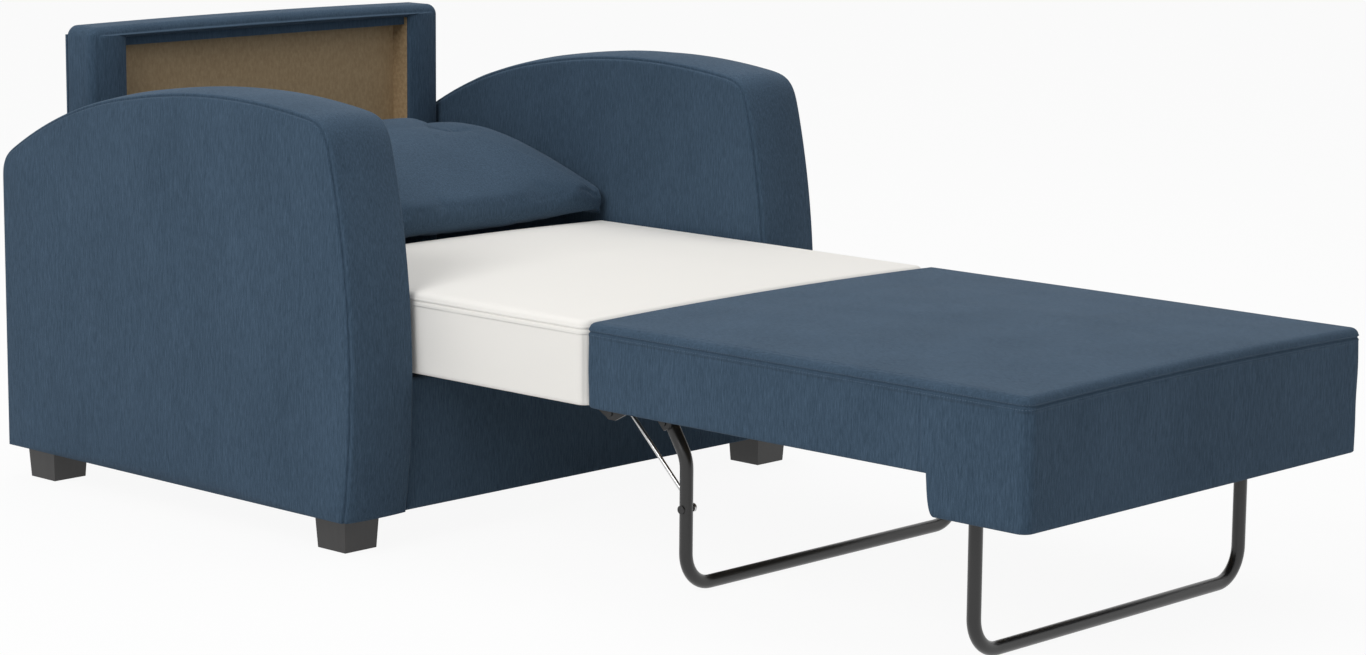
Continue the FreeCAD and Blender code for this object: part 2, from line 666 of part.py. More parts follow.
def make_cover(name, front, rear, half):
    """A section's cover: a crowned block, hollow from below for frame and foam."""
    body = new_body(name)
    block_shape = crowned(body, front, rear, half)
    side_face = value(half)
    rounded(body, "Corners", block_shape, "section_round", lambda edge, mid: (
        abs(abs(mid.x) - side_face) < 0.1 and abs(edge.tangentAt(edge.FirstParameter).z) > 0.9))
    inner = f"{half} - cover_wall"
    floor = outline(body, "Inside", "XY_Plane", rectangle(
        (f"-({inner})", inner), (f"({front}) + cover_wall", f"({rear}) - cover_wall")))
    bind(floor, "AttachmentOffset.Base.z", "section_underside")
    pocket(body, "Hollow", floor, "2 * (foam_top - section_underside)")
    keep(body, name)


def square_tube(name, across, along, up, way):
    """A square tube: the box between the given places, hollow along X or Y."""
    outer = block(name, across, along, up)
    in_x, in_y = ("-bore_overrun", "tube_wall") if way == "x" else ("tube_wall", "-bore_overrun")
    inner = block(f"{name}Bore", (f"{across[0]} + {in_x}", f"{across[1]} - ({in_x})"),
                  (f"{along[0]} + {in_y}", f"{along[1]} - ({in_y})"),
                  (f"{up[0]} + tube_wall", f"{up[1]} - tube_wall"))
    return cut(f"{name}Cut", outer, [inner])


def make_section_frame(name, front, rear, half):
    """Two side tubes, two end tubes, slats and foam of one section."""
    inner_front = f"{front} + cover_wall + tube_end_gap"
    inner_rear = f"{rear} - cover_wall - tube_end_gap"
    up = ("tube_bottom", "tube_top")
    for side, sign in SIDES:
        across = on_side(sign, "tube_inner", "tube_outer")
        keep(square_tube(f"{name}Tube{side}", across, (inner_front, inner_rear), up, "y"),
             f"{name}_{side}_tube")
    between = ("-tube_inner", "tube_inner")
    keep(square_tube(f"{name}FrontTube", between, (inner_front, f"{inner_front} + tube"), up, "x"),
         f"{name}_front_tube")
    keep(square_tube(f"{name}RearTube", between, (f"{inner_rear} - tube", inner_rear), up, "x"),
         f"{name}_rear_tube")
    slats = []
    for number in range(int(value("slat_count"))):
        share = f"{number + 1} / (slat_count + 1)"
        along = f"({inner_front}) + (({inner_rear}) - ({inner_front})) * {share} - slat_width / 2"
        slats.append(block(f"{name}Slat{number}", ("-tube_outer", "tube_outer"),
                           (along, f"{along} + slat_width"), ("tube_top", "tube_top + slat_thickness")))
    keep(group(f"{name}Slats", slats), f"{name}_slats")
    inner = f"{half} - cover_wall"
    keep(block(f"{name}Foam", (f"-({inner})", inner), (f"{front} + cover_wall", f"{rear} - cover_wall"),
               ("foam_bottom", "foam_top")), f"{name}_foam")


def make_middle():
    """The white middle section that turns on pins in the arms."""
    make_section_frame("middle", "middle_front", "middle_rear", "middle_half")
    make_cover("middle_cover", "middle_front", "middle_rear", "middle_half")
    for side, sign in SIDES:
        across = on_side(sign, "tube_outer", "tube_outer + pivot_bracket")
        half = "pivot_bracket_length / 2"
        plate = block(f"PivotBracket{side}", across, (f"pivot_place - {half}", f"pivot_place + {half}"),
                      ("pivot_height - 2 * pivot_pin_radius", "tube_top"))
        hole = rod(f"PivotBracketBore{side}", f"{across[0]} - bore_overrun", "pivot_place",
                   "pivot_height", "pivot_bracket + 2 * bore_overrun", "pivot_pin_radius")
        keep(cut(f"PivotBracketCut{side}", plate, [hole]), f"{side}_pivot_bracket")
        start = on_side(sign, "tube_outer", "half_gap + arm_padding")[0]
        keep(rod(f"PivotPin{side}", start, "pivot_place", "pivot_height",
                 "half_gap + arm_padding - tube_outer", "pivot_pin_radius"), f"{side}_pivot_pin")


def leaf_plate(name, across, sign, bore_radius):
    """A hinge leaf: from under an end tube down to the eye round the fold joint.

    Sign says to which side of the joint the leaf reaches along Y.
    """
    body = new_body(name)
    reach = f"joint + {sign} * leaf_reach"
    root = f"joint + {sign} * (joint_gap / 2 + cover_wall + leaf_thickness)"
    near = f"joint + {sign} * leaf_eye"
    back = f"joint - {sign} * leaf_eye"
    corners = [
        (root, "tube_bottom"),
        (back, "hinge_height + leaf_eye / 2"),
        (back, "hinge_height - leaf_eye / 2"),
        (f"joint - {sign} * leaf_eye / 2", "hinge_height - leaf_eye"),
        (near, "hinge_height - leaf_eye"),
        (reach, "tube_bottom"),
    ]
    if sign < 0:
        corners.reverse()
    pad(body, "Plate", outline(body, "Side", "YZ_Plane", corners), "leaf_thickness")
    bore(body, "PinHole", "YZ_Plane", [("joint", "hinge_height")], bore_radius)
    bind(body, "Placement.Base.x", across)
    return body


def make_fold_hinges():
    """Two hinges that join the sections: leaves and pins."""
    middle_leaves, seat_leaves, pins = [], [], []
    for side, sign in SIDES:
        middle_place = f"{sign} * (leaf_place - leaf_thickness / 2 - running_gap)"
        seat_place = f"{sign} * (leaf_place + leaf_thickness / 2 + running_gap)"
        middle_leaves.append(leaf_plate(f"MiddleLeaf{side}", middle_place, 1, "hinge_pin_radius"))
        seat_leaves.append(
            leaf_plate(f"SeatLeaf{side}", seat_place, -1, "hinge_pin_radius + running_gap"))
        length = "2 * (leaf_thickness + running_gap + pin_end)"
        pins.append(rod(f"FoldPin{side}", f"{sign} * leaf_place - ({length}) / 2", "joint", "hinge_height",
                        length, "hinge_pin_radius"))
    keep(group("MiddleLeaves", middle_leaves), "middle_hinge_leaves")
    keep(group("SeatLeaves", seat_leaves), "seat_hinge_leaves")
    keep(group("FoldPins", pins), "fold_hinge_pins")


def make_valance():
    """The flap that hangs below the seat section's front, with a return on each side."""
    front = ("-section_half", "section_half")
    up = ("valance_bottom", "section_underside")
    keep(block("ValanceFront", front, ("bed_front", "bed_front + valance_wall"), up), "valance_front")
    returns = []
    for side, sign in SIDES:
        body = new_body(f"Return{side}")
        corners = [("bed_front + valance_wall", "valance_bottom"),
                   ("valance_rear", "valance_bottom", "valance_curve_rise"),
                   ("valance_rear + valance_curve", "section_underside"),
                   ("bed_front + valance_wall", "section_underside")]
        pad(body, "Flap", outline(body, "Side", "YZ_Plane", corners), "valance_wall")
        bind(body, "Placement.Base.x", f"{sign} * (section_half - valance_wall / 2)")
        returns.append(body)
    keep(group("ValanceReturns", returns), "valance_returns")


# Hoops and stays


def vector(across, along, up):
    """A point from three expressions of named sizes."""
    return FreeCAD.Vector(value(across), value(along), value(up))


def rounded_path(points, radius):
    """Straight runs through points, joined by tangent arcs of one radius."""
    edges = []
    start = points[0]
    for before, corner, after in zip(points, points[1:], points[2:]):
        back = (before - corner).normalize()
        ahead = (after - corner).normalize()
        half = back.getAngle(ahead) / 2
        run = radius / math.tan(half)
        centre = corner + (back + ahead).normalize() * (radius / math.sin(half))
        first, last = corner + back * run, corner + ahead * run
        middle = centre + (corner - centre).normalize() * radius
        edges.append(Part.LineSegment(start, first).toShape())
        edges.append(Part.Arc(first, middle, last).toShape())
        start = last
    edges.append(Part.LineSegment(start, points[-1]).toShape())
    return Part.Wire(edges)


def swept_round(path, radius):
    """A round bar along a path."""
    first = path.Edges[0]
    way = first.tangentAt(first.FirstParameter)
    ring = Part.Wire([Part.Circle(path.Vertexes[0].Point, way, radius).toShape()])
    return path.makePipeShell([ring], True, False)


def cross_hole(shape, along, up, radius):
    """A shape bored all the way along X at one place."""
    reach = value("overall_width")
    start = FreeCAD.Vector(-reach / 2, value(along), value(up))
    return shape.cut(Part.makeCylinder(value(radius), reach, start, FreeCAD.Vector(1, 0, 0)))


def make_hoop(name, points, pivot, rivet=None):
    """One hoop of bent tube, bored at its pivot and, where asked, for the stay's rivet."""
    outer = value("hoop_tube_radius")
    path = rounded_path(points, value("hoop_bend"))
    tube = swept_round(path, outer).cut(swept_round(path, outer - value("hoop_tube_wall")))
    tube = cross_hole(tube, pivot[0], pivot[1], "hinge_pin_radius")
    if rivet:
        tube = cross_hole(tube, rivet[0], rivet[1], "rivet_radius")
    item = doc.addObject("Part::Feature", name)
    item.Shape = tube
    keep(item, name)


def hoop_points(along, pivot_along, pivot_up, knee):
    """Corners of a hoop: down one side, across the floor and up the other."""
    centre = "hoop_tube_radius"
    half = "hoop_half_width"
    near = [vector(f"-{half}", pivot_along, pivot_up)]
    if knee:
        near.append(vector(f"-{half}", along, knee))
    near.append(vector(f"-{half}", along, centre))
    far = [FreeCAD.Vector(-p.x, p.y, p.z) for p in reversed(near)]
    return near + far


def hoop_brackets(name, along, up, rail_face, sign):
    """Plates beside the hoop's pivots, welded to a cross rail of the seat frame.

    With sign 1 the plates hang under the rail behind the pivot, and with sign -1
    they stand against the rail in front of it.
    """
    plates = []
    for side, way in SIDES:
        body = new_body(f"{name}{side}")
        near = f"{along} - {sign} * hoop_bracket_eye"
        if sign > 0:
            corners = [(near, f"{up} - hoop_bracket_eye / 2"), (along, f"{up} - hoop_bracket_eye"),
                       (f"{rail_face} + tube", "tube_bottom"), (near, "tube_bottom")]
        else:
            corners = [(rail_face, "tube_bottom"), (along, f"{up} - hoop_bracket_eye"),
                       (near, f"{up} - hoop_bracket_eye / 2"), (near, "tube_top"), (rail_face, "tube_top")]
        pad(body, "Plate", outline(body, "Side", "YZ_Plane", corners), "hoop_bracket")
        bore(body, "PinHole", "YZ_Plane", [(along, up)], "hinge_pin_radius + running_gap")
        bind(body, "Placement.Base.x",
             f"{way} * (hoop_outer + hoop_bracket / 2 + 2 * running_gap)")
        plates.append(body)
    keep(group(name, plates), name)


def hoop_pins(name, along, up):
    """Pins fixed in a hoop's two upper ends, which turn in the brackets."""
    pins = []
    outer = "hoop_outer + 2 * running_gap + hoop_bracket + pin_end"
    for side, sign in SIDES:
        start = on_side(sign, "hoop_inner", outer)[0]
        pins.append(rod(f"{name}{side}", start, along, up, f"{outer} - hoop_inner", "hinge_pin_radius"))
    keep(group(name, pins), name)


def make_legs():
    """Both hoops with cross rails, brackets and pins."""
    rear_points = hoop_points("rear_hoop", "rear_hoop_pivot", "rear_pivot_height", "rear_hoop_knee")
    make_hoop("rear_hoop", rear_points, ("rear_hoop_pivot", "rear_pivot_height"),
              ("rear_hoop", "stay_foot_height"))
    front_points = hoop_points("front_hoop", "front_hoop", "front_pivot_height", None)
    make_hoop("front_hoop", front_points, ("front_hoop", "front_pivot_height"))
    up = ("tube_bottom", "tube_top")
    between = ("-tube_inner", "tube_inner")
    rear_rail = "rear_hoop_pivot + hoop_rail_offset / 2"
    keep(square_tube("RearRail", between, (rear_rail, f"{rear_rail} + tube"), up, "x"), "rear_hoop_rail")
    front_rail = "front_hoop - hoop_rail_offset"
    keep(square_tube("FrontRail", between, (f"{front_rail} - tube", front_rail), up, "x"), "front_hoop_rail")
    hoop_brackets("rear_hoop_brackets", "rear_hoop_pivot", "rear_pivot_height", rear_rail, 1)
    hoop_brackets("front_hoop_brackets", "front_hoop", "front_pivot_height", front_rail, -1)
    hoop_pins("rear_hoop_pins", "rear_hoop_pivot", "rear_pivot_height")
    hoop_pins("front_hoop_pins", "front_hoop", "front_pivot_height")


def stay_shape(across):
    """One stay: a round rod with a flat bored eye at each end."""
    foot = vector(across, "rear_hoop", "stay_foot_height")
    head = vector(across, "stay_head", "stay_head_height")
    way = (head - foot).normalize()
    inset = (value("rivet_head_radius") + value("rivet_radius")) / 2
    length = foot.distanceToPoint(head) - 2 * inset
    shape = Part.makeCylinder(value("stay_radius"), length, foot + way * inset, way)
    sideways = FreeCAD.Vector(1, 0, 0)
    thick, eye, hole = value("stay_eye"), value("rivet_head_radius"), value("rivet_radius + running_gap")
    for end in (foot, head):
        start = end - sideways * (thick / 2)
        ring = Part.makeCylinder(eye, thick, start, sideways)
        shape = shape.fuse(ring.cut(Part.makeCylinder(hole, thick, start, sideways)))
    return shape.removeSplitter()


def make_stays():
    """Bright rods from the rear hoop up to the fold joint, and their rivets."""
    rivets = []
    inner = "stay_place - stay_radius - pin_end"
    outer = "hoop_outer + rivet_head_thickness"
    for side, sign in SIDES:
        item = doc.addObject("Part::Feature", f"Stay{side}")
        item.Shape = stay_shape(f"{sign} * stay_place")
        keep(item, f"{side}_stay")
        shank = rod(f"RivetShank{side}", on_side(sign, inner, outer)[0], "rear_hoop", "stay_foot_height",
                    f"{outer} - ({inner})", "rivet_radius")
        cap = rod(f"RivetHead{side}", on_side(sign, "hoop_outer", outer)[0], "rear_hoop",
                  "stay_foot_height", "rivet_head_thickness", "rivet_head_radius")
        rivet = doc.addObject("Part::Fuse", f"Rivet{side}")
        rivet.Base = shank
        rivet.Tool = cap
        rivets.append(rivet)
    keep(group("StayRivets", rivets), "stay_rivets")


# Loose back cushion


def cushion_spot(across, run, rise):
    """A point of the laid cushion: run along its slope from the front, rise square to it."""
    slope = math.radians(value("cushion_slope"))
    along = value("cushion_front") + run * math.cos(slope) - rise * math.sin(slope)
    up = value("cushion_bottom") + run * math.sin(slope) + rise * math.cos(slope)
    return FreeCAD.Vector(across, along, up)


def cushion_length():
    """Bottom edge to top edge of the cushion, which fills the room in front of the back."""
    room = value("back_front - cushion_front - cushion_back_gap")
    return room / math.cos(math.radians(value("cushion_slope")))


def cushion_section(across, share):
    """One upright cross section of the cushion, as a wire of four arcs.

    Share goes from 0 at the ends to 1 in the full middle. The arcs are the
    underside, the rear boxing, the crowned top and the front boxing.
    """
    edge, full_height = value("cushion_edge"), value("cushion_thickness")
    thick = edge + (full_height - edge) * share
    drawn = value("cushion_drawn_in") * (1 - share)
    start, end = drawn, cushion_length() - drawn
    middle = (start + end) / 2
    front, rear = value("cushion_front_side"), value("cushion_rear_side")
    bulge = value("cushion_bulge")
    soft = bulge / 2
    rows = [
        ((start, soft), (middle, 0), (end, soft)),
        ((end, soft), (end + bulge, (soft + rear) / 2), (end, rear)),
        ((end, rear), (middle + value("cushion_crown_shift"), thick), (start, front)),
        ((start, front), (start - bulge, (soft + front) / 2), (start, soft)),
    ]
    return Part.Wire([Part.Arc(*[cushion_spot(across, *spot) for spot in row]).toShape() for row in rows])


def make_cushion():
    """The loose cushion, crowned, with ends drawn in and a row of sewn tufts."""
    half = value("cushion_half")
    places = [(-1, 0), (-0.9, 0.6), (-0.5, 1), (0.5, 1), (0.9, 0.6), (1, 0)]
    wires = [cushion_section(half * across, share) for across, share in places]
    shape = Part.makeLoft(wires, True, False)
    ball = value("tuft_radius")
    for number in (-1, 0, 1):
        centre = cushion_spot(number * value("tuft_spread"), value("tuft_run"),
                              value("cushion_thickness") + ball - value("tuft_depth"))
        shape = shape.cut(Part.makeSphere(ball, centre))
    item = doc.addObject("Part::Feature", "Cushion")
    item.Shape = shape
    keep(item, "back_cushion")


for side, sign in SIDES:
    make_arm(side, sign)
make_foot_bolts()
make_apron()
make_back()
make_middle()
make_section_frame("seat", "bed_front", "seat_rear", "section_half")
make_cover("seat_cover", "bed_front", "seat_rear", "section_half")
make_fold_hinges()
make_valance()
make_legs()
make_stays()
make_cushion()
doc.recompute()

faults = [item.Label for item in doc.Objects if "Invalid" in item.State or "Error" in item.State]
for item in subparts:
    if item.Shape.isNull() or not item.Shape.isValid() or not item.Shape.Solids:
        faults.append(item.Label)
if faults:
    raise RuntimeError(f"not made: {sorted(set(faults))}")
for item in subparts:
    item.Shape.exportStep(f"parts/{item.Label}.step")
    box = item.Shape.BoundBox
    print(f"{item.Label}: {len(item.Shape.Solids)} solids, {item.Shape.Volume / 1000:.0f} cm3, "
          f"x {box.XMin:.1f} {box.XMax:.1f} y {box.YMin:.1f} {box.YMax:.1f} z {box.ZMin:.1f} {box.ZMax:.1f}")
print("places:", {row[0]: round(value(row[0]), 2) for row in PLACES})
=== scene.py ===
"""Looks of the convertible chair bed: covers, cushion, stitching, finishes, light and camera.

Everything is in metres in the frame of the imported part: the origin lies on the
floor, the bed opens towards -Y and +X is the sitter's left.
"""

import json
import logging
import math
from dataclasses import dataclass, field
from enum import Enum
from typing import Optional, Sequence

import bmesh
import bpy
import numpy as np
from mathutils import Matrix, Vector

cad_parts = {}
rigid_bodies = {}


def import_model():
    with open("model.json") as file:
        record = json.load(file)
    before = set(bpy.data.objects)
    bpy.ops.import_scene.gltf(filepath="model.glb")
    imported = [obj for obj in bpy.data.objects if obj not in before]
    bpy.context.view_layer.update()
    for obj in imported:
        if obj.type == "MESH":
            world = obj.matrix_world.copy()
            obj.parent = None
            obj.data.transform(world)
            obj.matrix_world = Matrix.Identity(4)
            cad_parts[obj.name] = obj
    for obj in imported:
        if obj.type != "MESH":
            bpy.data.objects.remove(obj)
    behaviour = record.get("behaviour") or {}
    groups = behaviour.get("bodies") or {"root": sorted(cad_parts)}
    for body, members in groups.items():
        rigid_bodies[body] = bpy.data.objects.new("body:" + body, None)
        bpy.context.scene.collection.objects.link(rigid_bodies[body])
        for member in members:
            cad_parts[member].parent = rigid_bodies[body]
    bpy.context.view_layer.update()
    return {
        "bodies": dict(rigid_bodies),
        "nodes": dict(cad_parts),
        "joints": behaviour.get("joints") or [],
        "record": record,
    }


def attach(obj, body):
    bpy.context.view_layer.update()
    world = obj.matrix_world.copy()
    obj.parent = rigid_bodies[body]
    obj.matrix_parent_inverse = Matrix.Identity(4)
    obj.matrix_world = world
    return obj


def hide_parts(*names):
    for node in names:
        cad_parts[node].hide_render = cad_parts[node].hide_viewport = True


log = logging.getLogger("chair_bed")
MM = 0.001


class Body(str, Enum):
    """Moving bodies that dressed pieces ride on."""

    CHAIR = "chair"
    MIDDLE = "middle_section"
    SEAT = "seat_section"
    CUSHION = "cushion"


class Slot(str, Enum):
    """Material slots of the record."""

    BLUE = "blue_fabric"
    WHITE = "white_fabric"
    FOAM = "foam"
    TIMBER = "timber"
    HARDBOARD = "hardboard"
    FEET = "black_feet"
    TUBE = "black_tube"
    FRAME = "frame_steel"
    ZINC = "zinc_steel"


# Finishes


@dataclass(frozen=True)
class Cloth:
    """A woven fabric: two yarn colours, how long its grain is, and its nap."""

    name: str
    dark: tuple[float, float, float]
    light: tuple[float, float, float]
    grain: float
    contrast: float
    bump: float
    sheen: float
    cloudy: float
    roughness: float = 0.92


@dataclass(frozen=True)
class Solid:
    """A plain or stretched-grain finish for timber, board, paint and metal."""

    name: str
    dark: tuple[float, float, float]
    light: tuple[float, float, float]
    roughness: float
    metallic: float = 0.0
    scale: tuple[float, float, float] = (60.0, 60.0, 60.0)
    bump: float = 0.05
    coat: float = 0.0


BLUE_CLOTH = Cloth("blue_cloth", (0.016, 0.034, 0.056), (0.074, 0.122, 0.184), 9.0, 0.95, 0.5, 0.12, 0.14)
WHITE_CLOTH = Cloth("white_cloth", (0.86, 0.84, 0.80), (0.91, 0.89, 0.85), 1.6, 0.3, 0.08, 0.05, 0.03, 0.75)
THREAD = Cloth("thread", (0.085, 0.125, 0.18), (0.13, 0.18, 0.25), 1.0, 0.3, 0.0, 0.1, 0.0)
FOAM_FINISH = Cloth("foam_block", (0.72, 0.66, 0.45), (0.80, 0.75, 0.55), 1.0, 0.4, 0.2, 0.0, 0.05)
SOLIDS: dict[Slot, Solid] = {
    Slot.TIMBER: Solid("bare_timber", (0.30, 0.20, 0.10), (0.46, 0.33, 0.19),
                       0.7, scale=(14.0, 160.0, 160.0), bump=0.12),
    Slot.HARDBOARD: Solid("bare_board", (0.34, 0.235, 0.125), (0.45, 0.33, 0.19),
                          0.72, scale=(260.0, 260.0, 120.0), bump=0.1),
    Slot.FEET: Solid("foot_lacquer", (0.010, 0.009, 0.009), (0.016, 0.015, 0.014),
                     0.42, scale=(90.0, 90.0, 18.0), coat=0.15),
    Slot.TUBE: Solid("tube_paint", (0.008, 0.008, 0.008), (0.013, 0.013, 0.013),
                     0.33, scale=(700.0, 700.0, 700.0), coat=0.25),
    Slot.FRAME: Solid("frame_paint", (0.016, 0.016, 0.017), (0.022, 0.022, 0.023),
                      0.45, scale=(500.0, 500.0, 500.0)),
    Slot.ZINC: Solid("zinc", (0.50, 0.50, 0.50), (0.66, 0.66, 0.65), 0.32, 1.0, scale=(400.0, 60.0, 60.0)),
}


class NodeGraph:
    """Small helper round a material's node tree."""

    def __init__(self, name: str) -> None:
        """Start an empty material.

        Args:
            name: The material's name.
        """
        self.material = bpy.data.materials.new(name)
        self.material.use_nodes = True
        self.tree = self.material.node_tree
        self.tree.nodes.clear()

    def node(self, kind: str, **settings: object) -> bpy.types.Node:
        """Add a node; settings whose names are sockets set them, others set properties."""
        made = self.tree.nodes.new(kind)
        for key, setting in settings.items():
            sockets = {s.name.lower().replace(" ", "_"): s for s in made.inputs}
            if key in sockets:
                sockets[key].default_value = setting
            else:
                setattr(made, key, setting)
        return made

    def link(self, source: bpy.types.NodeSocket, target: bpy.types.NodeSocket) -> None:
        """Join two sockets."""
        self.tree.links.new(source, target)

    def math(self, operation: str, first: object, second: object = 0.5) -> bpy.types.NodeSocket:
        """A Math node on sockets or numbers, and its result."""
        made = self.node("ShaderNodeMath", operation=operation)
        for socket, item in zip(made.inputs, (first, second)):
            if isinstance(item, bpy.types.NodeSocket):
                self.link(item, socket)
            else:
                socket.default_value = item
        return made.outputs[0]

    def noise(self, vector: bpy.types.NodeSocket, stretch: Sequence[float], detail: float = 3.0,
              roughness: float = 0.6) -> bpy.types.NodeSocket:
        """Noise over object coordinates that are stretched by a factor each way."""
        mapping = self.node("ShaderNodeMapping")
        mapping.inputs["Scale"].default_value = stretch
        self.link(vector, mapping.inputs["Vector"])
        made = self.node("ShaderNodeTexNoise", scale=1.0, detail=detail, roughness=roughness)
        self.link(mapping.outputs["Vector"], made.inputs["Vector"])
        return made.outputs["Fac"]

    def mix(self, fac: bpy.types.NodeSocket, low: object, high: object,
            kind: str = "RGBA") -> bpy.types.NodeSocket:
        """A Mix node between two colours or sockets."""
        made = self.node("ShaderNodeMix", data_type=kind)
        index = {"FLOAT": (2, 3, 0), "RGBA": (6, 7, 2)}[kind]
        self.link(fac, made.inputs[0])
        for place, item in zip(index[:2], (low, high)):
            if isinstance(item, bpy.types.NodeSocket):
                self.link(item, made.inputs[place])
            else:
                made.inputs[place].default_value = (*item, 1.0) if kind == "RGBA" else item
        return made.outputs[index[2]]

    def spread(self, fac: bpy.types.NodeSocket, low: float, high: float) -> bpy.types.NodeSocket:
        """Stretch a value so that low becomes 0 and high becomes 1."""
        made = self.node("ShaderNodeMapRange")
        self.link(fac, made.inputs["Value"])
        made.inputs["From Min"].default_value = low
        made.inputs["From Max"].default_value = high
        return made.outputs["Result"]

    def finish(self, shader: bpy.types.NodeSocket) -> bpy.types.Material:
        """Send a shader to the output and hand back the material."""
        self.link(shader, self.node("ShaderNodeOutputMaterial").inputs["Surface"])
        return self.material


def cloth_material(finish: Cloth) -> bpy.types.Material:
    """Woven fabric with an upright grain on its sides and a lengthwise grain on top.

    Args:
        finish: Colours, grain and nap of the fabric.

    Returns:
        The material, which reads Object coordinates and the surface's direction.
    """
    graph = NodeGraph(finish.name)
    where = graph.node("ShaderNodeTexCoord").outputs["Object"]
    facing = graph.node("ShaderNodeSeparateXYZ")
    graph.link(graph.node("ShaderNodeNewGeometry").outputs["Normal"], facing.inputs[0])
    lying = graph.spread(graph.math("ABSOLUTE", facing.outputs["Z"]), 0.55, 0.85)
    fine = 520.0
    upright = graph.noise(where, (fine, fine, fine / finish.grain), 4.0, 0.75)
    lengthwise = graph.noise(where, (fine, fine / (0.4 * finish.grain + 0.6), fine), 4.0, 0.75)
    yarn = graph.mix(lying, upright, lengthwise, "FLOAT")
    cloud = graph.noise(where, (9.0, 9.0, 5.0), 3.0, 0.5)
    middle = 0.5
    reach = 0.32 / max(finish.contrast, 0.05)
    share = graph.spread(yarn, middle - reach, middle + reach)
    drift = graph.math("MULTIPLY", graph.math("SUBTRACT", cloud, 0.5), finish.cloudy * 2.4)
    share = graph.math("ADD", share, drift)
    colour = graph.mix(share, finish.dark, finish.light)
    shader = graph.node("ShaderNodeBsdfPrincipled")
    graph.link(colour, shader.inputs["Base Color"])
    shader.inputs["Roughness"].default_value = finish.roughness
    shader.inputs["Specular IOR Level"].default_value = 0.18
    shader.inputs["Sheen Weight"].default_value = finish.sheen
    shader.inputs["Sheen Roughness"].default_value = 0.45
    shader.inputs["Sheen Tint"].default_value = (*[min(1.0, 0.35 + 2.0 * c) for c in finish.light], 1.0)
    bump = graph.node("ShaderNodeBump")
    bump.inputs["Strength"].default_value = finish.bump
    bump.inputs["Distance"].default_value = 0.0012
    graph.link(yarn, bump.inputs["Height"])
    graph.link(bump.outputs["Normal"], shader.inputs["Normal"])
    return graph.finish(shader.outputs[0])


def solid_material(finish: Solid) -> bpy.types.Material:
    """Timber, board, paint or metal from stretched noise.

    Args:
        finish: Colours, grain and gloss.

    Returns:
        The material, which reads Object coordinates.
    """
    graph = NodeGraph(finish.name)
    where = graph.node("ShaderNodeTexCoord").outputs["Object"]
    grain = graph.noise(where, finish.scale, 4.0, 0.62)
    shader = graph.node("ShaderNodeBsdfPrincipled")
    colour = graph.mix(graph.spread(grain, 0.3, 0.7), finish.dark, finish.light)
    graph.link(colour, shader.inputs["Base Color"])
    shader.inputs["Roughness"].default_value = finish.roughness
    shader.inputs["Metallic"].default_value = finish.metallic
    shader.inputs["Coat Weight"].default_value = finish.coat
    shader.inputs["Coat Roughness"].default_value = 0.3
    bump = graph.node("ShaderNodeBump")
    bump.inputs["Strength"].default_value = finish.bump
    bump.inputs["Distance"].default_value = 0.0006
    graph.link(grain, bump.inputs["Height"])
    graph.link(bump.outputs["Normal"], shader.inputs["Normal"])
    return graph.finish(shader.outputs[0])


# Shapes


def waves(points: np.ndarray, length: float, seed: int, count: int = 14) -> np.ndarray:
    """Soft random waves: the mean of sines whose directions and lengths are drawn at random.

    Args:
        points: Places, (n, 3), in metres.
        length: Typical wave length in metres.
        seed: Picks the waves.
        count: How many sines.

    Returns:
        One value near -1 to 1 for each place.
    """
    draw = np.random.default_rng(seed)
    ways = draw.normal(size=(count, 3))
    ways /= np.linalg.norm(ways, axis=1, keepdims=True)
    ways *= (2 * math.pi / (length * draw.uniform(0.6, 1.7, size=(count, 1))))
    phases = draw.uniform(0, 2 * math.pi, size=count)
    return np.sin(points @ ways.T + phases).sum(axis=1) / math.sqrt(count) * 1.2


def groove(distance: np.ndarray, width: float) -> np.ndarray:
    """A rounded furrow of depth 1 across a seam: exp(-(distance / width)^2)."""
    return np.exp(-((distance / width) ** 2))


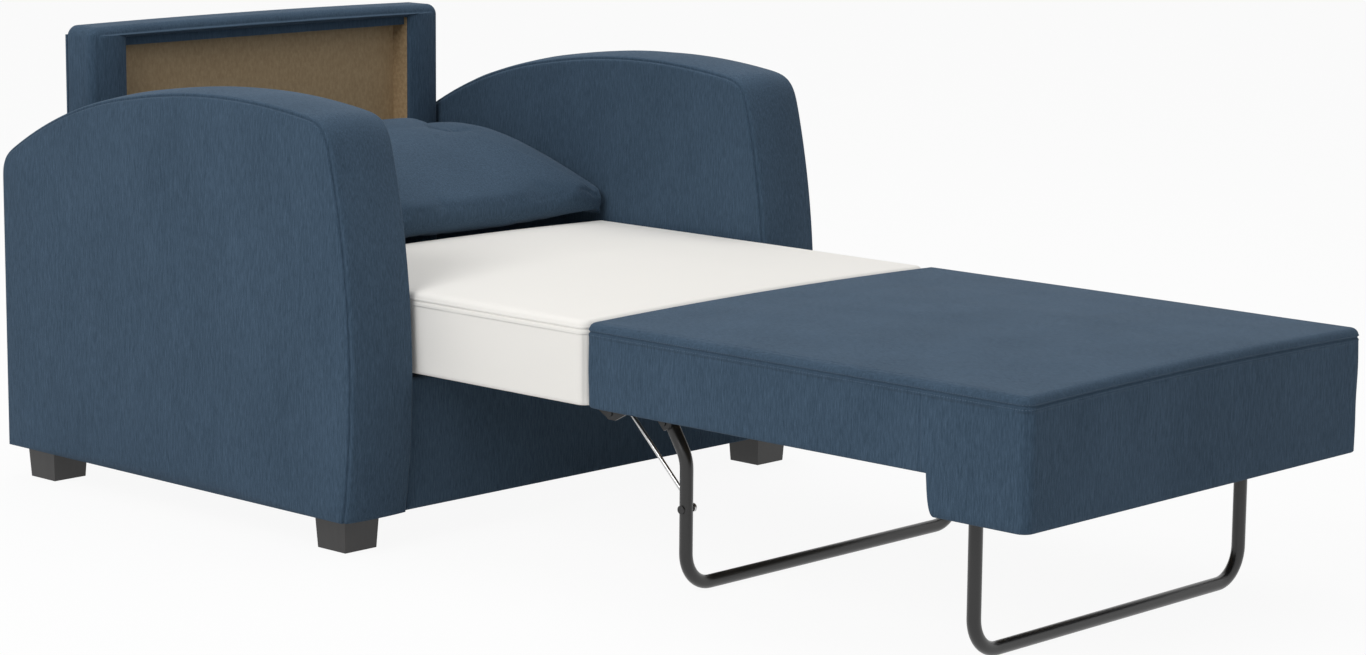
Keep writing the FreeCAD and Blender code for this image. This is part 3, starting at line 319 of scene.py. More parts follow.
@dataclass
class Shell:
    """A surface from one grid of points, with flat caps where the grid ends.

    Attributes:
        name: Name of the piece.
        points: (across, along, 3) grid in metres.
        ring: True where the first direction closes on itself.
        caps: True to close the two ends of the second direction.
        pull: (across, along) movement in metres against the outward side.
    """

    name: str
    points: np.ndarray
    ring: bool = True
    caps: bool = True
    pull: Optional[np.ndarray] = None
    normals: np.ndarray = field(default_factory=lambda: np.zeros((0, 3)))

    def quads(self) -> np.ndarray:
        """Corner numbers of every quad of the grid."""
        rows, cols = self.points.shape[:2]
        numbers = np.arange(rows * cols).reshape(rows, cols)
        if self.ring:
            numbers = np.vstack([numbers, numbers[:1]])
        low, high = numbers[:-1], numbers[1:]
        return np.stack([low[:, :-1], high[:, :-1], high[:, 1:], low[:, 1:]], axis=-1).reshape(-1, 4)

    def settle(self) -> "Shell":
        """Work out outward normals, then move the points in by the pull."""
        flat = self.points.reshape(-1, 3)
        quads = self.quads()
        a, b, c, d = (flat[quads[:, k]] for k in range(4))
        face = np.cross(c - a, d - b)
        centre = flat.mean(axis=0)
        volume = np.einsum("ij,ij->i", (a + b + c + d) / 4 - centre, face).sum()
        sign = 1.0 if volume > 0 else -1.0
        total = np.zeros_like(flat)
        for k in range(4):
            np.add.at(total, quads[:, k], face * sign)
        size = np.linalg.norm(total, axis=1, keepdims=True)
        self.normals = (total / np.maximum(size, 1e-12)).reshape(self.points.shape)
        if self.pull is not None:
            self.points = self.points - self.normals * self.pull[..., None]
        return self

    def build(self, body: Body, slot: Slot, material: bpy.types.Material) -> bpy.types.Object:
        """Make the mesh object and let it ride on a body.

        Args:
            body: The body that carries it.
            slot: The record's material slot; not used.
            material: Its finish.

        Returns:
            The finished object.
        """
        flat = self.points.reshape(-1, 3)
        faces = self.quads().tolist()
        rows, cols = self.points.shape[:2]
        if self.caps:
            numbers = np.arange(rows * cols).reshape(rows, cols)
            faces.append(numbers[:, 0][::-1].tolist())
            faces.append(numbers[:, -1].tolist())
        mesh = bpy.data.meshes.new(self.name)
        mesh.from_pydata(flat.tolist(), [], faces)
        return dress(mesh, self.name, body, material)


def dress(mesh: bpy.types.Mesh, name: str, body: Body, material: bpy.types.Material,
          smooth: bool = True) -> bpy.types.Object:
    """Turn a mesh into a finished piece: outward faces, smooth shading, finish and body."""
    work = bmesh.new()
    work.from_mesh(mesh)
    bmesh.ops.remove_doubles(work, verts=work.verts, dist=1e-6)
    bmesh.ops.recalc_face_normals(work, faces=work.faces)
    work.to_mesh(mesh)
    work.free()
    mesh.polygons.foreach_set("use_smooth", np.full(len(mesh.polygons), smooth))
    mesh.materials.append(material)
    piece = bpy.data.objects.new(name, mesh)
    bpy.context.scene.collection.objects.link(piece)
    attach(piece, body.value)
    log.info("piece %s: %d faces on %s", name, len(mesh.polygons), body.value)
    return piece


def rounded_rectangle(low: Sequence[float], high: Sequence[float], radii: Sequence[float],
                      steps: Sequence[int], bend: int = 7) -> tuple[np.ndarray, np.ndarray]:
    """A rectangle with round corners, walked from its low corner the left-hand way round.

    Each corner is a quarter circle of its own radius, and each side has its own
    number of points, so that two such rectangles pair up point for point.

    Args:
        low: Lower corner (u, v).
        high: Upper corner (u, v).
        radii: Radius at low-low, high-low, high-high and low-high.
        steps: Points along the low, right, high and left side.
        bend: Points in a corner.

    Returns:
        The points (n, 2) and their outward directions (n, 2).
    """
    corners = [(low[0], low[1]), (high[0], low[1]), (high[0], high[1]), (low[0], high[1])]
    inward = [(1, 1), (-1, 1), (-1, -1), (1, -1)]
    spots, ways = [], []
    for number in range(4):
        radius = radii[number]
        centre = np.array(corners[number]) + np.array(inward[number]) * radius
        turn = math.pi + number * math.pi / 2 + np.linspace(0, math.pi / 2, bend)
        way = np.stack([np.cos(turn), np.sin(turn)], axis=1)
        spots.append(centre + way * radius)
        ways.append(way)
        nxt = (number + 1) % 4
        after = np.array(corners[nxt]) + np.array(inward[nxt]) * radii[nxt]
        ahead = way[-1]
        start, stop = spots[-1][-1], after + ahead * radii[nxt]
        share = np.linspace(0, 1, steps[number] + 2)[1:-1, None]
        spots.append(start + (stop - start) * share)
        ways.append(np.repeat(ahead[None], steps[number], axis=0))
    return np.vstack(spots), np.vstack(ways)


# The two padded sections


@dataclass
class SectionCover:
    """Cover of one bed section: sides, a seam along the top edge and a crowned top.

    Attributes:
        name: Name of the piece.
        front: Y of its front end.
        rear: Y of its rear end.
        body: Body that it rides on.
        replaced: CAD nodes that it stands for.
        flap: How far the front and the ends beside it hang below the sides.
        flap_end: Y where the flap's lower edge ends.
        flap_curve: Length of the curve from there up to the sides' edge.
        side_seam: Y of the upright seam in both sides.
    """

    name: str
    front: float
    rear: float
    body: Body
    replaced: tuple[str, ...]
    flap: float = 0.0
    half: float = 372.5 * MM
    low: float = 256 * MM
    top: float = 375 * MM
    crown: float = 15 * MM
    end_crown: float = 5 * MM
    roll: float = 11 * MM
    belly: float = 1.2 * MM
    seed: int = 3
    flap_end: float = -818.5 * MM
    flap_curve: float = 12 * MM
    side_seam: float = -795.5 * MM

    def dome(self, x: np.ndarray, y: np.ndarray) -> np.ndarray:
        """Height of the top: an arc across whose rise is largest half way along.

        z = top + (end + (crown - end) (1 - v^2)) (1 - u^2), with u across and v
        along, both from -1 to 1.
        """
        u = np.clip(x / self.half, -1, 1)
        v = np.clip((y - (self.front + self.rear) / 2) / ((self.rear - self.front) / 2), -1, 1)
        rise = self.end_crown + (self.crown - self.end_crown) * (1 - v ** 2)
        return self.top + rise * (1 - u ** 2)

    def crowd(self, y: np.ndarray) -> np.ndarray:
        """Places along a side, drawn together round the flap's free end and the upright seam."""
        first, last = y.min(), y.max()
        share = (y - first) / (last - first)
        return np.interp(share, (0.0, 0.15, 0.5, 1.0), (first, -823 * MM, -788 * MM, last))

    def hang(self, y: np.ndarray, facing: np.ndarray) -> np.ndarray:
        """How far the lower edge lies below the sides: the flap with its curved free ends.

        Over the run of the curve the drop is flap sqrt(1 - t^2), with t from 0 to 1.
        The two corners at the fold joint rise by a few millimetres.
        """
        run = np.clip((y - self.flap_end) / self.flap_curve, 0, 1)
        drop = self.flap * np.where(facing < -0.02, 1.0, np.sqrt(1 - run ** 2))
        return drop - 4 * MM * np.clip((y - self.rear) / (16 * MM) + 1, 0, 1) ** 2 * (self.flap > 0)

    def shell(self) -> Shell:
        """The whole cover as one ring grid, from under the foam round the side to the top's middle."""
        ring, way = rounded_rectangle((-self.half, self.front), (self.half, self.rear),
                                      (16 * MM, 16 * MM, 12 * MM, 12 * MM), (110, 130, 110, 130), 13)
        straight = np.abs(way[:, 1]) < 1e-6
        belly = self.belly * np.where(way[:, 1] > 0.5, 0.2, 1.0)
        if self.flap:
            ring[straight, 1] = self.crowd(ring[straight, 1])
        count = len(ring)
        edge = self.dome(ring[:, 0], ring[:, 1])
        bottom = self.low - self.hang(ring[:, 1], way[:, 1])
        seams = 1.2 * MM * groove((ring[:, 1] - self.side_seam) / MM, 1.7) * straight * (self.flap > 0)
        diagonal = (np.abs(way[:, 0]) - np.abs(way[:, 1])) * 12
        seams += 0.9 * MM * groove(diagonal, 1.8) * (way[:, 1] < -0.02)
        columns: list[np.ndarray] = []
        pulls: list[np.ndarray] = []

        def add(out: np.ndarray, z: np.ndarray, pull: np.ndarray, shrink: float = 1.0) -> None:
            """Add one closed line of points at a height, moved out from the ring or shrunk."""
            centre = np.array([0.0, (self.front + self.rear) / 2])
            flat = centre + (ring + way * out[:, None] - centre) * shrink
            columns.append(np.column_stack([flat, z]))
            pulls.append(pull)

        one, none = np.ones(count), np.zeros(count)
        ceiling = 290.3 * MM
        inside = 3.2 * MM
        for shrink in (0.04, 0.5, 0.97):
            add(-inside * one, ceiling * one, none, shrink)
        for share in (0.0, 0.5, 1.0):
            add(-inside * one, ceiling + (bottom + 1.5 * MM - ceiling) * share, none)
        add(-inside / 2 * one, bottom, none)
        seam = edge - self.roll - 2 * MM
        for share in np.linspace(0, 1, 34) ** 0.85:
            height = bottom + 1.5 * MM + (seam - 6 * MM - bottom - 1.5 * MM) * share
            level = np.clip((height - self.low) / (self.top - self.low), 0, 1)
            out = belly * np.sin(math.pi * level) ** 2
            add(out, height, seams + 0.3 * MM * waves(np.column_stack([ring, height]), 0.09, self.seed))
        for near in np.linspace(-6, 4, 17):
            height = seam + near * MM
            add(0.6 * MM * one, height, 2.0 * MM * groove(near * one, 1.5))
        for turn in np.linspace(12, 90, 12):
            angle = math.radians(turn)
            out = (-self.roll + self.roll * math.cos(angle)) * one
            height = edge - self.roll + self.roll * math.sin(angle)
            add(out + 0.4 * MM, height, none)
        base = ring + way * (-self.roll)
        centre = np.array([0.0, (self.front + self.rear) / 2])
        for shrink in 1 - np.linspace(0, 1, 60)[1:] ** 1.25 * 0.985:
            flat = centre + (base - centre) * shrink
            height = self.dome(flat[:, 0], flat[:, 1])
            spot = np.column_stack([flat, height])
            depth = 0.5 * MM * waves(spot, 0.16, self.seed + 5) * (1 - shrink ** 6)
            columns.append(spot)
            pulls.append(depth)
        return Shell(self.name, np.stack(columns, axis=1), pull=np.stack(pulls, axis=1)).settle()

    def seam_columns(self) -> tuple[int, int]:
        """Grid columns just below and above the top seam, where the stitching runs."""
        first = 3 + 3 + 1 + 34
        return first + 4, first + 14


def stitches(name: str, paths: Sequence[tuple[np.ndarray, np.ndarray]], body: Body,
             material: bpy.types.Material, pitch: float = 4.2 * MM, length: float = 2.9 * MM,
             radius: float = 0.45 * MM) -> bpy.types.Object:
    """Rows of raised stitches, each a small closed double wedge along its seam.

    Args:
        name: Name of the piece.
        paths: Pairs of points (n, 3) and outward directions (n, 3) along each row.
        body: Body that carries them.
        material: Thread finish.
        pitch: From one stitch to the next.
        length: Length of one stitch.
        radius: Half the thread.

    Returns:
        One object with every stitch.
    """
    corners, faces = [], []
    total = 0
    for points, normals in paths:
        gaps = np.linalg.norm(np.diff(points, axis=0), axis=1)
        run = np.concatenate([[0], np.cumsum(gaps)])
        count = int(run[-1] / pitch)
        middle = (np.arange(count) + 0.5) * pitch
        spot = np.column_stack([np.interp(middle, run, points[:, k]) for k in range(3)])
        out = np.column_stack([np.interp(middle, run, normals[:, k]) for k in range(3)])
        out /= np.linalg.norm(out, axis=1, keepdims=True)
        ahead = np.column_stack([np.interp(middle + 1 * MM, run, points[:, k]) for k in range(3)]) - spot
        ahead /= np.maximum(np.linalg.norm(ahead, axis=1, keepdims=True), 1e-9)
        side = np.cross(out, ahead)
        base = spot + out * radius * 0.5
        ring = [base + side * radius, base + out * radius, base - side * radius, base - out * radius]
        tips = [base - ahead * length / 2, base + ahead * length / 2]
        block = np.stack(tips + ring, axis=1)
        corners.append(block.reshape(-1, 3))
        turns = [(0, 2 + k, 2 + (k + 1) % 4) for k in range(4)]
        turns += [(1, 2 + (k + 1) % 4, 2 + k) for k in range(4)]
        start = total + 6 * np.arange(count)[:, None, None]
        faces.append((np.array(turns)[None] + start).reshape(-1, 3))
        total += 6 * count
    mesh = bpy.data.meshes.new(name)
    mesh.from_pydata(np.vstack(corners).tolist(), [], np.vstack(faces).tolist())
    return dress(mesh, name, body, material)


# Chair


def arc(start: np.ndarray, stop: np.ndarray, rise: float, count: int) -> np.ndarray:
    """A circular arc that stands out by rise on the right of the way, without its last point.

    The arc is a parabola to within a hair at these small rises:
    p = start + t (stop - start) + 4 t (1 - t) rise side.
    """
    t = np.linspace(0, 1, count, endpoint=False)[:, None]
    ahead = stop - start
    side = np.array([ahead[1], -ahead[0]]) / np.linalg.norm(ahead)
    return start + t * ahead + 4 * t * (1 - t) * rise * side


def resample(points: np.ndarray, count: int) -> np.ndarray:
    """The same line with evenly spaced points."""
    run = np.concatenate([[0], np.cumsum(np.linalg.norm(np.diff(points, axis=0), axis=1))])
    even = np.linspace(0, run[-1], count)
    return np.column_stack([np.interp(even, run, points[:, k]) for k in range(points.shape[1])])


def soften(points: np.ndarray, reach: int) -> np.ndarray:
    """A line whose corners are rounded by a running mean with fixed ends."""
    padded = np.vstack([2 * points[0] - points[1:reach + 1][::-1], points,
                        2 * points[-1] - points[-reach - 1:-1][::-1]])
    kernel = np.hanning(2 * reach + 3)[1:-1]
    kernel /= kernel.sum()
    return np.column_stack([np.convolve(padded[:, k], kernel, "valid") for k in range(points.shape[1])])


@dataclass
class ArmCover:
    """Fabric of one arm: two side panels and a padded band with a seam along both edges."""

    side: str
    sign: int
    middle: float = 437.5 * MM
    width: float = 125 * MM
    bend: float = 9 * MM
    crest: float = 6 * MM
    puff: float = 3.0 * MM
    floor: float = 52 * MM

    def outline(self) -> np.ndarray:
        """The arm seen from the side, from its rear foot over the top to its front foot."""
        corners = np.array([(967.5, 52), (967.5, 508), (642.5, 628), (229.5, 630), (191.5, 600),
                            (162.5, 52)]) * MM
        rises = np.array([0, 19, 17, 9, 29]) * MM
        counts = (120, 120, 120, 40, 160)
        rows = [arc(corners[k], corners[k + 1], rises[k], counts[k]) for k in range(5)]
        line = resample(np.vstack(rows + [corners[-1:]]), 420)
        return soften(line, 9)

    def shell(self) -> Shell:
        """Grid from one bottom line up a panel, over the band and down the other panel."""
        line = self.outline()
        ahead = np.gradient(line, axis=0)
        ahead /= np.linalg.norm(ahead, axis=1, keepdims=True)
        out = np.column_stack([ahead[:, 1], -ahead[:, 0]])
        half = self.width / 2
        count = len(line)
        share = np.linspace(0, 1, count)
        inset = line - out * self.bend
        foot_y = (line[0, 0] - self.bend - 3 * MM) * (1 - share) + (line[-1, 0] + self.bend + 3 * MM) * share
        foot = np.column_stack([foot_y, np.full(count, self.floor)])
        columns, pulls = [], []

        def panel(u: float) -> tuple[np.ndarray, np.ndarray]:
            """A line of the side panel, u from its edge to its foot, and how far it swells."""
            flat = inset * (1 - u) + foot * u
            gap = np.sqrt(((flat[:, None] - inset[None, ::4]) ** 2).sum(axis=2)).min(axis=1)
            gap = np.minimum(gap, (flat[:, 1] - self.floor) * 1.2)
            lift = self.puff * (1 - np.exp(-gap / (26 * MM)))
            return flat, lift

        steps = np.concatenate([np.linspace(0, 0.08, 9)[1:], np.linspace(0.08, 1, 30)[1:]])
        for sign in (-1, 1):
            rows, drops = [], []
            fullness = 0.1 if sign * self.sign < 0 else 1.0
            for u in steps[::-1]:
                flat, lift = panel(float(u))
                lift = lift * fullness
                spot = np.column_stack([sign * (half + lift), flat])
                rows.append(spot)
                ripple = waves(spot + sign, 0.20, 11) * (1 - np.exp(-lift / (1 * MM)))
                drops.append(0.5 * MM * ripple * fullness)
            for near in np.linspace(0, 90, 15):
                angle = math.radians(near)
                x = sign * (half - self.bend + self.bend * math.cos(angle))
                rise = -self.bend + self.bend * math.sin(angle) + self.crest * (1 - (x / half) ** 2)
                flat = line + out * rise
                spot = np.column_stack([np.full(count, x), flat])
                rows.append(spot)
                far = (near - 45) / 90 * math.pi / 2 * self.bend / MM
                drops.append(np.full(count, 3.0 * MM * groove(np.array(far), 1.8)))
            if sign < 0:
                columns, pulls = rows, drops
                for x in np.linspace(-(half - self.bend), half - self.bend, 25)[1:-1]:
                    flat = line + out * (self.crest * (1 - (x / half) ** 2))
                    spot = np.column_stack([np.full(count, x), flat])
                    columns.append(spot)
                    pulls.append(0.45 * MM * waves(spot, 0.11, 17))
            else:
                columns += rows[::-1]
                pulls += drops[::-1]
        points = np.stack(columns, axis=1)
        points[..., 0] += self.sign * self.middle
        return Shell(f"{self.side}_arm_fabric", points, ring=False, caps=False,
                     pull=np.stack(pulls, axis=1)).settle()

    def build(self, finish: bpy.types.Material) -> bpy.types.Object:
        """The finished cover with its flat underside."""
        shell = self.shell()
        rows, cols = shell.points.shape[:2]
        shell.points[0, :, 2] = self.floor
        shell.points[-1, :, 2] = self.floor
        shell.points[:, 0, 2] = self.floor
        shell.points[:, -1, 2] = self.floor
        numbers = np.arange(rows * cols).reshape(rows, cols)
        rim = numbers[0].tolist() + numbers[1:, -1].tolist()
        rim += numbers[-1, :-1][::-1].tolist() + numbers[1:-1, 0][::-1].tolist()
        mesh = bpy.data.meshes.new(shell.name)
        mesh.from_pydata(shell.points.reshape(-1, 3).tolist(), [], shell.quads().tolist() + [rim])
        piece = dress(mesh, shell.name, Body.CHAIR, finish)
        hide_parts(f"{self.side}_arm_cover")
        return piece


@dataclass
class BackCover:
    """Padded fabric over the back frame, with a rim round the open recess."""

    front: float = 900.5 * MM
    rear: float = 964.4 * MM
    half: float = 370 * MM
    low: float = 52 * MM
    top: float = 707 * MM
    inner_half: float = 300 * MM
    sill: float = 425 * MM
    inner_top: float = 689 * MM
    puff: float = 4.5 * MM
    mitre_slope: float = 70 / 18

    def shell(self) -> Shell:
        """Grid of paired rectangles: recess edge, rim, outer edge, side and a turn behind."""
        steps = (60, 70, 120, 70)
        outer, way = rounded_rectangle((-self.half, self.low), (self.half, self.top),
                                       (6 * MM, 6 * MM, 18 * MM, 18 * MM), steps, 13)
        inner, turn = rounded_rectangle((-self.inner_half, self.sill), (self.inner_half, self.inner_top),
                                        (2 * MM, 2 * MM, 3 * MM, 3 * MM), steps, 13)
        arch = 3 * MM * (1 - np.clip(outer[:, 0] / self.half, -1, 1) ** 2) * (outer[:, 1] > 0.6)
        outer[:, 1] += arch
        columns, pulls = [], []
        count = len(outer)

        def add(flat: np.ndarray, y: np.ndarray, pull: np.ndarray) -> None:
            """Add one closed line of points at a depth."""
            columns.append(np.column_stack([flat[:, 0], np.broadcast_to(y, count), flat[:, 1]]))
            pulls.append(np.broadcast_to(pull, count))

        edge = 13 * MM
        for depth in (11.0, 8.0, 5.0):
            add(inner + turn * 0.2 * MM, self.front + depth * MM, 0.0)
        for angle in np.radians([0, 30, 60, 90]):
            add(inner + turn * 3 * MM * math.sin(angle), self.front + 3 * MM * (1 - math.sin(angle)), 0.0)
        inner_edge = inner + turn * 3 * MM
        outer_edge = outer - way * edge
        for share in np.linspace(0, 1, 24)[1:-1]:
            flat = inner_edge * (1 - share) + outer_edge * share
            lift = self.puff * math.sin(math.pi * share) ** 0.7
            spot = np.column_stack([flat[:, 0], np.full(count, self.front), flat[:, 1]])
            rise = (flat[:, 1] - self.inner_top) * self.mitre_slope
            mitre = np.abs(np.abs(flat[:, 0]) - self.inner_half - rise) / MM
            fold = 2.2 * MM * groove(mitre, 5.0) * (flat[:, 1] > self.inner_top - 0.02) * (1 - share)
            add(flat, self.front - lift, fold + 0.35 * MM * waves(spot, 0.12, 23))
        for angle in np.radians(np.linspace(0, 90, 11)):
            flat = outer_edge + way * edge * math.sin(angle)
            add(flat, self.front + edge * (1 - math.cos(angle)), 0.0)
        for depth in np.linspace(self.front + edge, self.rear - 5 * MM, 8)[1:]:
            add(outer, depth, 0.0)
        for angle in np.radians([30, 60, 90]):
            back = self.rear - 5 * MM + 4.7 * MM * math.sin(angle)
            add(outer - way * 2.5 * MM * (1 - math.cos(angle)), back, 0.0)
        reach = np.where(np.abs(way).min(axis=1) > 1e-6, 17.5, 24.0) * MM
        add(outer - way * reach[:, None], self.rear - 0.3 * MM, 0.0)
        pull = np.stack(pulls, axis=1)
        return Shell("back_fabric", np.stack(columns, axis=1), caps=False, pull=pull).settle()


@dataclass
class ApronCover:
    """Fabric over the board between the arms: a rounded bar along X."""

    front: float = 165.5 * MM
    rear: float = 185.4 * MM
    low: float = 52 * MM
    top: float = 248 * MM
    half: float = 374.6 * MM
    relief: float = 206 * MM
    relief_half: float = 367.9 * MM

    def shell(self) -> Shell:
        """A closed profile in Y and Z, carried along X with faint waves and notched upper corners."""
        profile = rounded_rectangle((self.front, self.low), (self.rear, self.top),
                                    (5 * MM, 1 * MM, 1 * MM, 7 * MM), (6, 30, 6, 30), 6)[0]
        stations = np.linspace(-self.half, self.half, 90)
        grid = np.empty((len(profile), len(stations), 3))
        grid[..., 0] = stations[None]
        grid[..., 1:] = profile[:, None]
        notched = np.clip(grid[..., 0], -self.relief_half, self.relief_half)
        grid[..., 0] = np.where(grid[..., 2] > self.relief, notched, grid[..., 0])
        middle = (self.front + self.rear) / 2
        ends = [grid[:, :1].copy(), grid[:, -1:].copy()]
        for end in ends:
            end[..., 1] = middle + (end[..., 1] - middle) * 0.01
        grid = np.concatenate([ends[0], grid, ends[1]], axis=1)
        flat = grid.reshape(-1, 3)
        pull = (0.5 * MM * waves(flat, 0.17, 31)).reshape(grid.shape[:2])
        pull *= (grid[..., 1] < self.front + 1 * MM)
        return Shell("apron_fabric", grid, pull=pull).settle()


# Loose cushion


@dataclass
class Cushion:
    """The loose back cushion laid in the bay, blown up as cloth between its tufts."""

    front: float = 495.5 * MM
    low: float = 380.4 * MM
    slope: float = 6.0
    half: float = 367 * MM
    length: float = 398 * MM
    thick: float = 122 * MM
    edge: float = 90 * MM
    front_side: float = 50 * MM
    rear_side: float = 70 * MM
    bulge: float = 11 * MM
    drawn: float = 8 * MM
    crown_shift: float = 32 * MM
    corner: float = 13 * MM
    pressure: float = 1.5
    cap: float = 7 * MM
    tufts: tuple[float, ...] = (-205 * MM, 0.0, 205 * MM)
    tuft_run: float = 225 * MM

    def place(self, local: np.ndarray) -> np.ndarray:
        """Local (across, run, rise) to the frame: the cushion lies on a slope that climbs rearwards."""
        angle = math.radians(self.slope)
        y = self.front + local[:, 1] * math.cos(angle) - local[:, 2] * math.sin(angle)
        z = self.low + local[:, 1] * math.sin(angle) + local[:, 2] * math.cos(angle)
        return np.column_stack([local[:, 0], y, z])

    def profile(self, share: float) -> np.ndarray:
        """Section across the cushion, (run, rise): underside, rear boxing, crown and front boxing.

        Each part is a parabola through its two ends and its middle point:
        p = start + t (stop - start) + 4 t (1 - t) (middle - (start + stop) / 2).
        """
        drawn = self.drawn * (1 - share)
        start, end, soft = drawn, self.length - drawn, self.bulge / 2
        thick = self.edge + (self.thick - self.edge) * share
        middle = self.length / 2
        parts = (
            ((start, soft), (middle, 0.0), (end, soft), 26),
            ((end, soft), (end + self.bulge, (soft + self.rear_side) / 2), (end, self.rear_side), 14),
            ((end, self.rear_side), (middle + self.crown_shift, thick), (start, self.front_side), 60),
            ((start, self.front_side), (start - self.bulge, (soft + self.front_side) / 2), (start, soft), 12),
        )
        rows = []
        for first, through, last, count in parts:
            t = np.linspace(0, 1, count, endpoint=False)[:, None]
            first, through, last = (np.array(spot) for spot in (first, through, last))
            rows.append(first + t * (last - first) + 4 * t * (1 - t) * (through - (first + last) / 2))
        return np.vstack(rows)

    def base(self) -> Shell:
        """The pad in local coordinates: sections whose crown sinks towards both rounded ends."""
        turns = np.radians(np.linspace(0, 84, 8))
        inner = self.half - self.corner
        flats = np.linspace(0, inner, 42)[:-1]
        half_way = np.concatenate([flats, inner + self.corner * np.sin(turns)])
        insets = np.concatenate([np.zeros(len(flats)), self.corner * (1 - np.cos(turns))])
        stations = np.concatenate([-half_way[:0:-1], half_way])
        insets = np.concatenate([insets[:0:-1], insets])
        columns = []
        for x, inset in zip(stations, insets):
            u = abs(x) / self.half
            flat = self.profile(1 - max(0.0, (u - 0.5) / 0.5) ** 4)
            away = flat - flat.mean(axis=0)
            flat = flat - away / np.linalg.norm(away, axis=1, keepdims=True) * inset
            columns.append(np.column_stack([np.full(len(flat), x), flat]))
        return Shell("cushion_base", np.stack(columns, axis=1)).settle()

    def build(self, finish: bpy.types.Material) -> bpy.types.Object:
        """Simulate, cap, clear what it lies against, and hand back the finished piece."""
        shell = self.base()
        flat = shell.points.reshape(-1, 3)
        mesh = bpy.data.meshes.new("back_cushion_fabric")
        faces = shell.quads().tolist()
        rows, cols = shell.points.shape[:2]
        numbers = np.arange(rows * cols).reshape(rows, cols)
        faces.append(numbers[:, 0].tolist())
        faces.append(numbers[:, -1].tolist())
        mesh.from_pydata(flat.tolist(), [], faces)
        local = self.swell(mesh, flat)
        for spot in self.tufts:
            away = np.linalg.norm(local[:, :2] - np.array([spot, self.tuft_run]), axis=1)
            top = local[:, 2] > self.thick * 0.6
            dimple = (13 * MM * np.exp(-((away / (22 * MM)) ** 1.4))
                      + 4 * MM * np.exp(-(away / (60 * MM)) ** 2))
            side = np.exp(-(((local[:, 0] - spot) / (75 * MM)) ** 2))
            fold = 3.5 * MM * groove((local[:, 1] - self.tuft_run) / MM, 9.0) * side
            local[:, 2] -= top * (dimple + fold)
        local[:, 2] = np.maximum(local[:, 2], 0.3 * MM)
        placed = self.place(local)
        placed[:, 1] = np.minimum(placed[:, 1], 895.5 * MM)
        placed[:, 0] = np.clip(placed[:, 0], -371.5 * MM, 371.5 * MM)
        mesh.vertices.foreach_set("co", placed.astype(np.float32).ravel())
        piece = dress(mesh, "back_cushion_fabric", Body.CUSHION, finish)
        smooth = piece.modifiers.new("Soft", "SUBSURF")
        smooth.levels = smooth.render_levels = 1
        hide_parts("back_cushion")
        return piece

    def swell(self, mesh: bpy.types.Mesh, rest: np.ndarray) -> np.ndarray:
        """Blow the pad up as cloth with its tufts and underside held, and cap each point's way."""
        copy = bpy.data.objects.new("cushion_sim", mesh.copy())
        bpy.context.scene.collection.objects.link(copy)
        held = copy.vertex_groups.new(name="held")
        for spot in self.tufts:
            away = np.linalg.norm(rest - np.array([spot, self.tuft_run, self.thick]), axis=1)
            held.add(np.flatnonzero(away < 20 * MM).tolist(), 1.0, "REPLACE")
        held.add(np.flatnonzero(rest[:, 2] < 1 * MM).tolist(), 1.0, "REPLACE")
        cloth = copy.modifiers.new("Cloth", "CLOTH")
        cloth.settings.quality = 6
        cloth.settings.mass = 0.3
        cloth.settings.tension_stiffness = 12
        cloth.settings.compression_stiffness = 12
        cloth.settings.bending_stiffness = 0.6
        cloth.settings.use_pressure = True
        cloth.settings.uniform_pressure_force = self.pressure
        cloth.settings.shrink_min = -0.025
        cloth.settings.vertex_group_mass = "held"
        cloth.settings.effector_weights.gravity = 0.0
        cloth.point_cache.frame_start, cloth.point_cache.frame_end = 1, 20
        scene = bpy.context.scene
        for frame in range(1, 21):
            scene.frame_set(frame)
        graph = bpy.context.evaluated_depsgraph_get()
        done = copy.evaluated_get(graph).to_mesh()
        moved = np.empty(len(done.vertices) * 3, np.float32)
        done.vertices.foreach_get("co", moved)
        moved = moved.reshape(-1, 3).astype(float)
        scene.frame_set(1)
        bpy.data.objects.remove(copy, do_unlink=True)
        step = moved - rest
        size = np.linalg.norm(step, axis=1, keepdims=True)
        log.info("cushion moved by up to %.1f mm", size.max() / MM)
        return rest + step * np.minimum(1.0, self.cap / np.maximum(size, 1e-9))


# Stage


def make_floor() -> None:
    """A plain white floor that keeps the shadow and looks white to the camera."""
    graph = NodeGraph("floor_white")
    path = graph.node("ShaderNodeLightPath")
    seen = graph.math("MAXIMUM", path.outputs["Is Camera Ray"], path.outputs["Is Glossy Ray"])
    seen = graph.math("MAXIMUM", seen, path.outputs["Is Transmission Ray"])
    matt = graph.node("ShaderNodeBsdfDiffuse", color=(0.86, 0.86, 0.86, 1.0))
    white = graph.node("ShaderNodeEmission", color=(1.0, 1.0, 1.0, 1.0))
    white.inputs["Strength"].default_value = 1.0
    blend = graph.node("ShaderNodeMixShader")
    graph.link(graph.math("MULTIPLY", seen, 0.93), blend.inputs[0])
    graph.link(matt.outputs[0], blend.inputs[1])
    graph.link(white.outputs[0], blend.inputs[2])
    material = graph.finish(blend.outputs[0])
    mesh = bpy.data.meshes.new("floor")
    reach = 30.0
    mesh.from_pydata([(-reach, -reach, -0.0006), (reach, -reach, -0.0006), (reach, reach, -0.0006),
                      (-reach, reach, -0.0006)], [], [(0, 1, 2, 3)])
    mesh.materials.append(material)
    floor = bpy.data.objects.new("floor", mesh)
    bpy.context.scene.collection.objects.link(floor)


